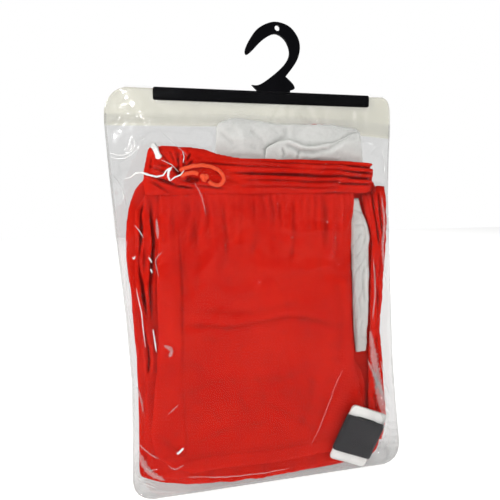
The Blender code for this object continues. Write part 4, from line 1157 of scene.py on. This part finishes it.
FILM_CRESTS = (
    Crease(((-135.1, 59.2), (-129.6, 64.8), (-123.1, 74.2)), -1.6, 2.6, 0.0, 0.1),
    Crease(((-158.7, 91.4), (-150.2, 91.4), (-143.4, 85.7), (-134.0, 88.6), (-121.6, 89.5), (-117.6, 83.8),
            (-112.7, 80.9)), -1.5, 1.2, 0.2, 0.1),
    Crease(((-112.7, 80.9), (-116.7, 87.6), (-114.9, 94.4), (-111.0, 91.5), (-104.0, 87.6)), -1.4, 1.1, 0.2, 0.1),
    Crease(((-171.0, 66.2), (-159.7, 68.4), (-152.2, 66.9), (-147.4, 61.2), (-146.3, 55.6), (-150.0, 53.8)),
           -1.2, 1.0, 0.2, 0.1),
    Crease(((-171.0, 69.9), (-158.0, 72.1), (-150.4, 68.8), (-143.7, 62.1)), -1.2, 1.0, 0.2, 0.1),
    Crease(((-123.1, 74.2), (-112.6, 78.0), (-106.9, 85.7), (-104.0, 96.0)), -0.9, 1.0, 0.2, 0.1),
    Crease(((-101.2, 68.1), (-100.9, 80.9), (-104.0, 92.0)), -0.8, 0.9, 0.2, 0.1),
    Crease(((-144.0, 108.0), (-140.0, 160.0), (-146.0, 215.0)), -1.0, 1.4, 0.3),
    Crease(((-147.8, 218.5), (-144.9, 243.2), (-141.7, 262.6)), -1.4, 1.2, 0.3),
    Crease(((-137.0, 232.0), (-133.7, 243.5), (-134.8, 262.4)), -1.4, 1.4, 0.3),
    Crease(((-130.0, 128.0), (-124.0, 150.0), (-129.0, 176.0), (-122.0, 206.0)), -1.0, 1.2, 0.3),
    Crease(((-126.0, 262.2), (-114.8, 264.8), (-124.3, 274.7)), -1.0, 1.4, 0.3),
    Crease(((-150.7, 346.7), (-143.5, 362.5), (-128.6, 371.5), (-117.5, 388.1), (-96.0, 400.0)), -1.4, 1.8, 0.3),
    Crease(((-112.0, 352.0), (-104.0, 362.0), (-108.0, 374.0)), -1.2, 1.6, 0.3),
    Crease(((-155.0, 398.0), (-130.0, 404.0), (-104.0, 420.0)), -1.6, 2.0, 0.3),
    Crease(((106.0, 120.0), (116.0, 150.0), (112.0, 180.0)), -1.2, 1.6, 0.3),
    Crease(((122.0, 110.0), (128.0, 150.0), (121.0, 190.0), (129.0, 240.0)), -1.2, 1.6, 0.3),
    Crease(((130.0, 360.0), (138.0, 392.0), (128.0, 418.0)), -1.4, 1.8, 0.3),
    Crease(((20.0, 424.0), (70.0, 416.0), (120.0, 404.0), (140.0, 396.0)), -1.4, 1.8, 0.3),
    Crease(((-60.0, 110.0), (-20.0, 150.0), (10.0, 210.0)), -0.6, 1.8, 0.3),
    Crease(((60.0, 330.0), (30.0, 366.0), (10.0, 400.0)), -0.8, 1.6, 0.3),
    Crease(((-70.0, 52.0), (-86.0, 64.0), (-96.0, 78.0)), -0.8, 1.2, 0.3),
    Crease(((108.0, 56.0), (112.0, 78.0), (108.0, 100.0)), -0.8, 1.4, 0.3),
)


@dataclass(frozen=True)
class Ridge:
    """A sharp fold of the film, raised as a strip and white as painted light: its route as x and drop, and its half
    width, in millimetres.
    """

    route: tuple[Point, ...]
    half: float
    blunt: bool = False


# Routes of the white strips on the front film, painted as highlights where its folds would catch the light.
FILM_HIGHLIGHT_RIDGES = (
    Ridge(((-131.5, 58.5), (-128.6, 63.0), (-126.6, 68.5), (-124.8, 73.5)), 3.1, True),
    Ridge(((-158.0, 91.8), (-152.0, 90.6), (-147.0, 86.6), (-142.0, 86.2), (-136.0, 88.4), (-128.0, 90.4),
           (-121.6, 89.0), (-118.4, 84.2), (-112.8, 80.6)), 1.05),
    Ridge(((-112.8, 80.6), (-116.4, 85.0), (-117.0, 90.0), (-115.2, 94.6)), 1.3),
    Ridge(((-115.2, 94.6), (-111.0, 91.0), (-105.0, 88.6), (-101.6, 84.0)), 0.75),
    Ridge(((-170.6, 66.4), (-164.0, 68.6), (-158.0, 68.8), (-152.2, 66.9), (-148.0, 61.6), (-146.3, 55.6),
           (-149.4, 53.6)), 0.5),
    Ridge(((-171.0, 70.2), (-164.0, 72.2), (-157.0, 72.0), (-150.4, 68.8), (-143.7, 62.1)), 0.4),
    Ridge(((-139.0, 53.0), (-137.8, 54.2)), 0.8),
    Ridge(((-102.4, 66.0), (-101.2, 71.0), (-102.6, 77.0)), 0.4),
    Ridge(((-123.1, 74.2), (-113.0, 79.0), (-107.0, 86.0)), 0.22),
    Ridge(((-134.9, 241.0), (-133.5, 251.9), (-132.0, 264.7)), 0.8),
    Ridge(((-114.3, 372.8), (-110.6, 370.4), (-107.2, 367.1)), 1.5, True),
    Ridge(((-137.1, 168.7), (-135.4, 171.6), (-134.0, 174.5)), 0.9),
    Ridge(((-135.6, 180.3), (-134.8, 182.4), (-134.0, 184.7)), 0.8),
    Ridge(((-152.5, 168.7), (-151.1, 170.9), (-149.6, 167.4)), 0.6),
    Ridge(((-149.6, 137.1), (-145.5, 142.2), (-141.5, 149.5)), 0.35),
    Ridge(((-160.0, 104.0), (-158.6, 108.0), (-158.9, 111.0)), 0.5),
    Ridge(((-149.7, 408.4), (-142.0, 412.0), (-135.2, 414.5)), 0.35),
    Ridge(((-149.8, 199.0), (-149.0, 205.7), (-145.4, 224.3), (-144.3, 241.2), (-142.4, 260.1)), 0.42),
    Ridge(((124.0, 60.0), (128.0, 74.0), (126.0, 90.0)), 0.22),
    Ridge(((131.0, 409.0), (136.0, 405.0), (141.0, 398.0)), 0.3),
)

# Routes of the wide faint white strips on the front film, painted as reflections of light along its folds.
FILM_REFLECTION_VEILS = (
    Ridge(((-156.9, 152.8), (-158.4, 160.1), (-158.8, 173.2), (-157.6, 182.1), (-156.3, 195.4)), 1.3),
    Ridge(((-128.7, 131.0), (-128.2, 141.0), (-127.8, 151.0)), 1.8),
    Ridge(((-122.4, 163.4), (-126.7, 165.5), (-131.1, 171.8), (-129.9, 179.1), (-128.0, 188.6)), 0.7),
    Ridge(((-151.6, 302.7), (-147.6, 316.2), (-146.2, 329.5)), 1.3),
    Ridge(((-124.7, 258.0), (-116.2, 262.5), (-119.9, 270.3)), 2.4),
    Ridge(((-152.4, 363.6), (-143.5, 370.6), (-132.8, 375.9)), 0.8),
    Ridge(((-149.4, 385.1), (-142.3, 391.9), (-133.1, 389.4)), 0.8),
    Ridge(((-154.0, 399.9), (-146.0, 405.0), (-131.4, 411.2)), 1.6),
    Ridge(((-152.0, 372.0), (-148.0, 384.0), (-140.0, 396.0), (-126.0, 404.0)), 3.4),
    Ridge(((-156.0, 386.0), (-153.0, 402.0), (-144.0, 414.0)), 1.8),
    Ridge(((-150.0, 417.0), (-136.0, 421.0), (-116.0, 424.0)), 1.6),
    Ridge(((-123.4, 384.8), (-116.2, 389.7), (-106.9, 385.3)), 0.7),
    Ridge(((-122.1, 330.2), (-114.7, 323.6), (-111.0, 320.3)), 0.6),
    Ridge(((-104.0, 400.0), (-70.0, 408.0), (-30.0, 411.0), (10.0, 409.0)), 0.8),
    Ridge(((103.1, 294.7), (110.3, 309.3), (117.5, 324.0), (127.0, 343.9), (133.4, 358.9)), 2.4),
    Ridge(((121.4, 298.1), (124.7, 312.6), (131.1, 330.3), (135.4, 339.4)), 1.4),
    Ridge(((107.0, 262.0), (112.0, 296.0), (119.0, 330.0), (124.0, 372.0), (121.0, 396.0)), 5.6),
    Ridge(((-158.6, 178.8), (-157.4, 201.9), (-155.5, 227.0), (-154.2, 245.5)), 2.0),
    Ridge(((71.0, 301.8), (62.5, 319.1), (53.2, 344.4), (42.9, 367.0), (33.5, 385.9)), 0.45),
    Ridge(((116.2, 418.2), (125.6, 418.5), (133.9, 413.7)), 1.6),
    Ridge(((118.0, 112.0), (124.0, 140.0), (120.0, 172.0), (127.0, 210.0)), 1.8),
    Ridge(((109.0, 180.0), (113.0, 214.0), (110.0, 250.0)), 1.2),
    Ridge(((-92.0, 96.0), (-84.0, 110.0), (-80.0, 128.0)), 0.6),
    Ridge(((-168.0, 120.0), (-166.0, 170.0), (-163.0, 230.0)), 1.4),
    Ridge(((-172.0, 84.0), (-160.0, 98.0), (-156.0, 120.0)), 0.5),
    Ridge(((-120.0, 47.5), (-112.0, 56.0), (-98.0, 70.0)), 0.6),
)


@dataclass
class FilmRidges:
    """Folds that stand on the drawn film as painted light: sharp white ones as painted highlights, and wide faint ones
    as painted reflections that veil it.
    """

    film: bpy.types.Object
    name: str
    ridges: tuple[Ridge, ...]
    finish: ClearFilm
    around: int = 6
    rise: float = 0.32
    rounds: int = 0
    step: float = 0.7
    sunk: float = 0.05

    def rounded(self, route: np.ndarray) -> np.ndarray:
        """Cuts the corners of a route, once for each round."""
        for _ in range(self.rounds):
            near, far = 0.75 * route[:-1] + 0.25 * route[1:], 0.25 * route[:-1] + 0.75 * route[1:]
            route = np.concatenate([route[:1], np.stack([near, far], axis=1).reshape(-1, 2), route[-1:]])
        return route

    def one(self, tree: BVHTree, ridge: Ridge) -> tuple[list[tuple[float, ...]], list[tuple[int, ...]]]:
        """Points and faces of one ridge: a low strip, sharp at both ends, that follows the film."""
        route = self.rounded(np.array(ridge.route))
        run = run_along(route)
        at = np.linspace(0.0, run[-1], max(8, int(run[-1] / self.step)))
        x, drop = np.interp(at, run, route[:, 0]), np.interp(at, run, route[:, 1])
        jag = bump_field(at, np.full(len(at), 9.0 * ridge.half), (3.0, 3.0), ridge.route[0][0])
        slope = np.gradient(np.stack([x, drop], axis=1), axis=0)
        slope /= np.linalg.norm(slope, axis=1)[:, None]
        share = at / run[-1]
        taper = np.clip((14.0 if ridge.blunt else 4.0) * share * (1 - share), 0.0, 1.0) ** 0.5
        half = ridge.half * taper * (0.85 + 0.35 * jag) + 0.04
        verts = []
        for i in range(len(at)):
            met = tree.ray_cast(Vector((x[i] * MM, -1.0, z_of(drop[i]))), Vector((0.0, 1.0, 0.0)))[0]
            depth = met.y if met is not None else 0.0
            for k in range(self.around):
                angle = math.tau * k / self.around
                off = half[i] * math.cos(angle)
                out = self.rise * min(1.0, half[i] / 0.5) * math.sin(angle)
                verts.append(((x[i] - off * slope[i, 1]) * MM, depth - (out + self.sunk) * MM,
                              z_of(drop[i] + off * slope[i, 0])))
        return verts, tube_faces(len(at), self.around)

    def make(self) -> bpy.types.Object:
        """Builds all the ridges as one piece on the front film."""
        tree = BVHTree.FromObject(self.film, bpy.context.evaluated_depsgraph_get())
        verts: list[tuple[float, ...]] = []
        faces: list[tuple[int, ...]] = []
        for ridge in self.ridges:
            points, sides = self.one(tree, ridge)
            faces += [tuple(len(verts) + i for i in side) for side in sides]
            verts += points
        piece = closed_piece(self.name, verts, faces, self.finish)
        settle(piece)
        return piece


@dataclass
class HangingBag:
    """The clear film bag, drawn over the folded suit, with its flap folded over the bar."""

    contents: list[bpy.types.Object]
    step: float = 2.3
    film: float = 0.16
    clearance: float = 0.35
    passes: int = 220
    mouth: float = 32.0
    flap: float = 47.0
    flap_stand: float = 2.3
    height: float = 431.0
    width: float = 320.0
    rest: float = 0.3
    slot: Point = (-26.0, 23.0)
    weld: float = 3.2
    # Drops where the back film's steps of painted shade begin, darker towards the bottom.
    foot: tuple[float, ...] = (380.0, 389.0, 397.0, 404.0, 411.0)

    def edge(self, drops: np.ndarray, column: int) -> np.ndarray:
        """Left (1) or right (2) edge of the bag at each drop."""
        table = np.array(BAG_EDGE)
        found = np.interp(drops, table[:, 0], table[:, column])
        low, high = np.interp(drops - 3, table[:, 0], table[:, column]), np.interp(drops + 3, table[:, 0],
                                                                               table[:, column])
        share = np.clip((drops - 6) / 20, 0, 1) * np.clip((424 - drops) / 10, 0, 1)
        return found * (1 - share) + share * (found + low + high) / 3

    def tree(self, objects: list[bpy.types.Object]) -> BVHTree:
        """One ray-cast tree of finished pieces."""
        points: list[Vector] = []
        faces: list[tuple[int, ...]] = []
        graph = bpy.context.evaluated_depsgraph_get()
        for obj in objects:
            shown = obj.evaluated_get(graph)
            mesh = shown.to_mesh()
            first = len(points)
            points += [vert.co.copy() for vert in mesh.vertices]
            faces += [tuple(first + i for i in face.vertices) for face in mesh.polygons]
            shown.to_mesh_clear()
        return BVHTree.FromPolygons(points, faces)

    def slanted(self, drops: np.ndarray, xs: np.ndarray) -> np.ndarray:
        """Drop of each grid point, with the rows near the flap's edge drawn up along its slant."""
        share = (xs - xs[:, :1]) / (xs[:, -1:] - xs[:, :1])
        lift = np.interp(share, FLAP_SLANT[0], FLAP_SLANT[1])
        held = np.interp(drops, (20.0, self.flap, 96.0), (0.0, 1.0, 0.0))
        return drops[:, None] - lift * held[:, None]

    def outward(self, tree: BVHTree, xs: np.ndarray, drops: np.ndarray, side: float) -> np.ndarray:
        """How far out the tree reaches at each grid point, in metres, or -1 where it has nothing."""
        found = np.full(xs.shape, -1.0)
        ray = Vector((0.0, -side, 0.0))
        for (i, j), x in np.ndenumerate(xs):
            met = tree.ray_cast(Vector((x * MM, side, z_of(drops[i, j]))), ray)[0]
            if met is not None:
                found[i, j] = side * met.y
        return found

    def drape(self, xs: np.ndarray, drops: np.ndarray, tree: BVHTree, side: float, rest: float,
              fixed: np.ndarray, crests: tuple[Crease, ...], seed: float, crinkle: float) -> np.ndarray:
        """Depths of a taut film over a tree, with its crests and crinkles stood off it.

        Args:
            xs: Places across of each grid point, in millimetres.
            drops: Drop of each grid point, in millimetres.
            tree: What the film lies over.
            side: -1 for the front and 1 for the back.
            rest: Depth at the welds, in millimetres.
            fixed: Where the film is welded.
            crests: Fold lines of the film.
            seed: Shifts the crinkles.
            crinkle: Height of the crinkles, in millimetres.

        Returns:
            Depths along Y, in metres.
        """
        need = self.outward(tree, xs, drops, side)
        need = np.where(need > -0.9, need + self.clearance * MM, -1.0)
        around = np.pad(need, 1, mode="edge")
        need = np.max([around[a:a + need.shape[0], b:b + need.shape[1]] for a in range(3) for b in range(3)], axis=0)
        depth = np.maximum(need, rest * MM)
        depth[fixed] = rest * MM
        for _ in range(self.passes):
            pad = np.pad(depth, 1, mode="edge")
            mean = 0.25 * (pad[:-2, 1:-1] + pad[2:, 1:-1] + pad[1:-1, :-2] + pad[1:-1, 2:])
            depth = np.maximum(need, mean)
            depth[fixed] = rest * MM
        x, drop = xs.reshape(-1), drops.reshape(-1)
        stand = crinkle * ridge_field(x, drop, FILM_LARGE, seed)
        stand += 0.5 * crinkle * ridge_field(x + 0.6 * drop, drop, FILM_SMALL, seed + 5.0)
        stand += 0.25 * crinkle * (1 + bump_field(x, drop, FILM_FINE, seed + 9.0))
        for crest in crests:
            stand += np.maximum(-crest.push(x, drop), 0.0)
        near = np.minimum(x - np.repeat(xs[:, 0], xs.shape[1]), np.repeat(xs[:, -1], xs.shape[1]) - x)
        stand *= ease(near / FILM_FLAT_BAND) * ease((self.height - drop) / FILM_FLAT_BAND)
        return side * (depth + stand.reshape(xs.shape) * MM)

    def grid(self, drops: np.ndarray, welded: int = -1) -> tuple[np.ndarray, np.ndarray, np.ndarray]:
        """Places across and drops of a film's grid points, and which of them its welds hold.

        Args:
            drops: Drop of each row, in millimetres.
            welded: The row that is held, beside both sides.

        Returns:
            Places across, drops and held points, as arrays of one shape.
        """
        left, right = self.edge(drops, 1), self.edge(drops, 2)
        share = np.linspace(0.0, 1.0, int(self.width / self.step))
        xs = left[:, None] + (right - left)[:, None] * share[None, :]
        fixed = np.zeros(xs.shape, bool)
        fixed[welded], fixed[:, 0], fixed[:, -1] = True, True, True
        return xs, self.slanted(drops, xs), fixed

    def film_piece(self, name: str, node: str, xs: np.ndarray, heights: np.ndarray, depths: np.ndarray,
                   finishes: tuple[ClearFilm, ...], outward: float, keep: np.ndarray | None = None,
                   parts: np.ndarray | None = None) -> bpy.types.Object:
        """One film from its grid of points, with a thin wall.

        Args:
            name: The piece's name.
            node: The frame's node that it takes the place of.
            xs: Places across of each grid point, in millimetres.
            heights: Height of each grid point, in metres.
            depths: Depth of each grid point along Y, in metres.
            finishes: The finishes that the film's parts have.
            outward: -1 where the film faces the front and 1 where it faces the back.
            keep: Grid cells that the film has, or None for all.
            parts: Number of each grid cell's finish, or None where all have the first.

        Returns:
            The finished piece.
        """
        rows, columns = xs.shape
        verts = [(xs[i, j] * MM, depths[i, j], heights[i, j]) for i in range(rows) for j in range(columns)]
        faces = [(i * columns + j, i * columns + j + 1, (i + 1) * columns + j + 1, (i + 1) * columns + j)
                 for i in range(rows - 1) for j in range(columns - 1) if keep is None or keep[i, j]]
        if outward > 0:
            faces = [face[::-1] for face in faces]
        mesh = bpy.data.meshes.new(name)
        mesh.from_pydata(verts, [], faces)
        facing = sum(face.normal.y * face.area for face in mesh.polygons)
        if facing * outward < 0:
            mesh.flip_normals()
        mesh.shade_smooth()
        for finish in finishes:
            mesh.materials.append(made_once(finish))
        if parts is not None:
            mesh.polygons.foreach_set("material_index", parts.reshape(-1).astype(np.int32))
        piece = linked(mesh)
        select_only(piece)
        modify(piece, "SOLIDIFY", thickness=self.film * MM, offset=1.0)
        settle(piece, node)
        return piece

    def make(self) -> list[bpy.types.Object]:
        """Builds the front film, the back film and the flap, and the front film's strips of painted highlight and
        reflection.
        """
        drops = np.linspace(self.mouth, self.height, int((self.height - self.mouth) / self.step))
        xs, places, fixed = self.grid(drops)
        depths = self.drape(xs, places, self.tree(self.contents), -1.0, self.rest, fixed, FILM_CRESTS, 60.0,
                            1.1)
        middle = 0.5 * (xs[:-1, :-1] + xs[1:, 1:])
        below = np.repeat(self.height - 0.5 * (drops[:-1] + drops[1:])[:, None], middle.shape[1], 1)
        near = np.minimum(np.minimum(middle - xs[:-1, :1], xs[:-1, -1:] - middle), below)
        front = self.film_piece("bag_front_film_drawn", "bag_front_film", xs, z_of(places), depths,
                                (FRONT_FILM, WELD_FILM), -1.0, parts=near < self.weld)
        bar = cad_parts["hanger_bar"]
        drops = np.linspace(1.9, self.height, int(self.height / self.step))
        xs, places, fixed = self.grid(drops)
        depths = self.drape(xs, places, self.tree(self.contents + [bar]), 1.0, self.rest, fixed, (), 80.0, 0.55)
        parts = np.where(drops[:-1] < self.flap, 1, 0)
        # Below the first foot drop, the back film takes steps of painted shade, darker towards the bottom.
        parts = np.where(drops[:-1] > self.foot[0], 2 + np.searchsorted(self.foot[1:], drops[:-1]), parts)
        back = self.film_piece("bag_back_film_drawn", "bag_back_film", xs, z_of(places), depths,
                               (BACK_FILM, HEADER_FILM, *FOOT_SHADE_FILMS), 1.0,
                               parts=np.repeat(parts[:, None], xs.shape[1] - 1, 1))
        return [front, back, self.make_flap(front, bar),
                FilmRidges(front, "bag_front_film_painted_highlights", FILM_HIGHLIGHT_RIDGES, PAINTED_HIGHLIGHT_FILM).make(),
                FilmRidges(front, "bag_front_film_painted_reflections", FILM_REFLECTION_VEILS, PAINTED_REFLECTION_FILM, rise=0.12, rounds=3).make()]

    def make_flap(self, front: bpy.types.Object, bar: bpy.types.Object) -> bpy.types.Object:
        """The flap: up the back, over the bar with a slot for the hook, and down over the bag's mouth."""
        hang = np.linspace(2.2, self.flap, 24)
        xs, places, fixed = self.grid(hang, 0)
        columns = xs.shape[1]
        depths = self.drape(xs, places, self.tree(self.contents + [bar, front]), -1.0, self.flap_stand, fixed,
                            (), 95.0, 0.25)
        over = np.array(FLAP_FOLD)
        turn = len(over)
        all_xs = np.concatenate([np.repeat(xs[:1], turn, 0), xs])
        heights = np.concatenate([np.repeat(z_of(over[:, :1]), columns, 1), z_of(places)])
        depth = np.concatenate([np.repeat(over[:, 1:] * MM, columns, 1), depths])
        keep = np.ones((len(all_xs) - 1, columns - 1), bool)
        middle = 0.5 * (all_xs[:turn, :-1] + all_xs[:turn, 1:])
        keep[:turn] = ~((middle > self.slot[0]) & (middle < self.slot[1]))
        return self.film_piece("bag_flap_folded", "bag_flap", all_xs, heights, depth, (FLAP_FILM,), -1.0, keep)


# ---------------------------------------------------------------------------------------------
# Studio
# ---------------------------------------------------------------------------------------------


@dataclass
class Studio:
    """Pale floor, soft lights and the photograph's camera."""

    lens: float = 39.6
    turn: tuple[float, float, float] = (0.1018, -0.2674, -0.0086)
    station: tuple[float, float, float] = (-0.183, -0.5651, -0.1655)
    floor_gap: float = 0.02
    ambient: float = 0.17

    def camera(self) -> None:
        """Sets the camera at the photograph's viewing angle."""
        tilt, swing, roll = self.turn
        look = (Matrix.Rotation(roll, 3, "Z") @ Matrix.Rotation(tilt, 3, "X") @ Matrix.Rotation(swing, 3, "Y"))
        rows = [Vector((row[0], row[2], -row[1])) for row in look]
        placed = Matrix((rows[0], -rows[1], -rows[2])).transposed().to_4x4()
        placed.translation = Vector(self.station)
        data = bpy.data.cameras.new("photo_camera")
        data.lens = self.lens
        data.sensor_width = 36.0
        data.clip_start = 0.01
        camera = linked(data)
        camera.matrix_world = placed
        bpy.context.scene.camera = camera

    def floor(self) -> None:
        """A plain pale floor under the pack."""
        bpy.ops.object.select_all(action="DESELECT")
        bpy.ops.mesh.primitive_plane_add(size=8.0, location=(0.0, 0.0, CAD_BOX[0][2] - self.floor_gap))
        floor = bpy.context.object
        floor.name = "studio_floor"
        n = Nodes("studio_floor")
        n.set(Base_Color=(0.93, 0.93, 0.92, 1.0), Roughness=0.9, Specular_IOR_Level=0.1,
              Emission_Color=(1.0, 1.0, 1.0, 1.0), Emission_Strength=0.63)
        floor.data.materials.append(n.material)

    def lamp(self, name: str, place: tuple[float, float, float], aim: tuple[float, float, float], size: Point,
             power: float, colour: Colour = (1.0, 1.0, 1.0)) -> None:
        """One soft rectangular light."""
        data = bpy.data.lights.new(name, "AREA")
        data.shape = "RECTANGLE"
        data.size, data.size_y = size
        data.energy = power
        data.color = colour
        lamp = linked(data)
        lamp.location = place
        lamp.rotation_euler = (Vector(aim) - Vector(place)).to_track_quat("-Z", "Y").to_euler()

    def make(self) -> None:
        """Sets camera, floor, world and lights."""
        self.camera()
        self.floor()
        world = bpy.data.worlds.new("studio_white")
        world.use_nodes = True
        tree = world.node_tree
        glow = tree.nodes["Background"]
        glow.inputs["Color"].default_value = (1.0, 1.0, 1.0, 1.0)
        seen = tree.nodes.new("ShaderNodeLightPath")
        level = tree.nodes.new("ShaderNodeMapRange")
        level.inputs["To Min"].default_value = self.ambient
        level.inputs["To Max"].default_value = 1.0
        tree.links.new(seen.outputs["Is Camera Ray"], level.inputs["Value"])
        tree.links.new(level.outputs["Result"], glow.inputs["Strength"])
        bpy.context.scene.world = world
        bpy.context.scene.view_settings.view_transform = "Standard"
        middle = (-0.01, 0.0, -0.27)
        self.lamp("key_softbox", (-1.30, -0.62, 0.66), middle, (0.36, 0.36), 14.5, (1.0, 0.99, 0.97))
        self.lamp("front_softbox", (0.15, -1.6, 0.25), middle, (0.9, 0.9), 2.0)
        self.lamp("fill_softbox", (1.1, -0.9, 0.05), middle, (0.7, 0.9), 2.8)
        self.lamp("streak_strip", (-0.24, -0.9, 0.30), (-0.13, 0.0, -0.13), (0.06, 0.02), 1.6)
        self.lamp("glint_upper", (-0.10, -0.9, -0.02), (-0.13, 0.0, -0.13), (0.022, 0.014), 0.25)
        self.lamp("glint_lower", (-0.12, -0.9, -0.86), (-0.12, 0.0, -0.46), (0.025, 0.016), 0.35)
        self.lamp("glint_side", (0.52, -0.9, -0.24), (0.11, 0.0, -0.20), (0.02, 0.016), 0.2)
        self.lamp("floor_wash", (0.3, 2.2, 2.0), (0.3, 2.8, -0.5), (3.5, 2.0), 55.0)


def main() -> None:
    """Builds the suit, its belt and cord, the hanger, the bag and the studio."""
    logging.basicConfig(level=logging.INFO, format="%(message)s")
    Studio().make()
    cord = Drawstring().make()
    cloth = FoldedSuit().make()
    seams = SewnSeams(cloth).make()
    belt = WoundBelt().make()
    FlatHanger().make()
    HangingBag([*cloth.values(), *seams, *cord, *belt]).make()


if __name__ == "__main__":
    main()
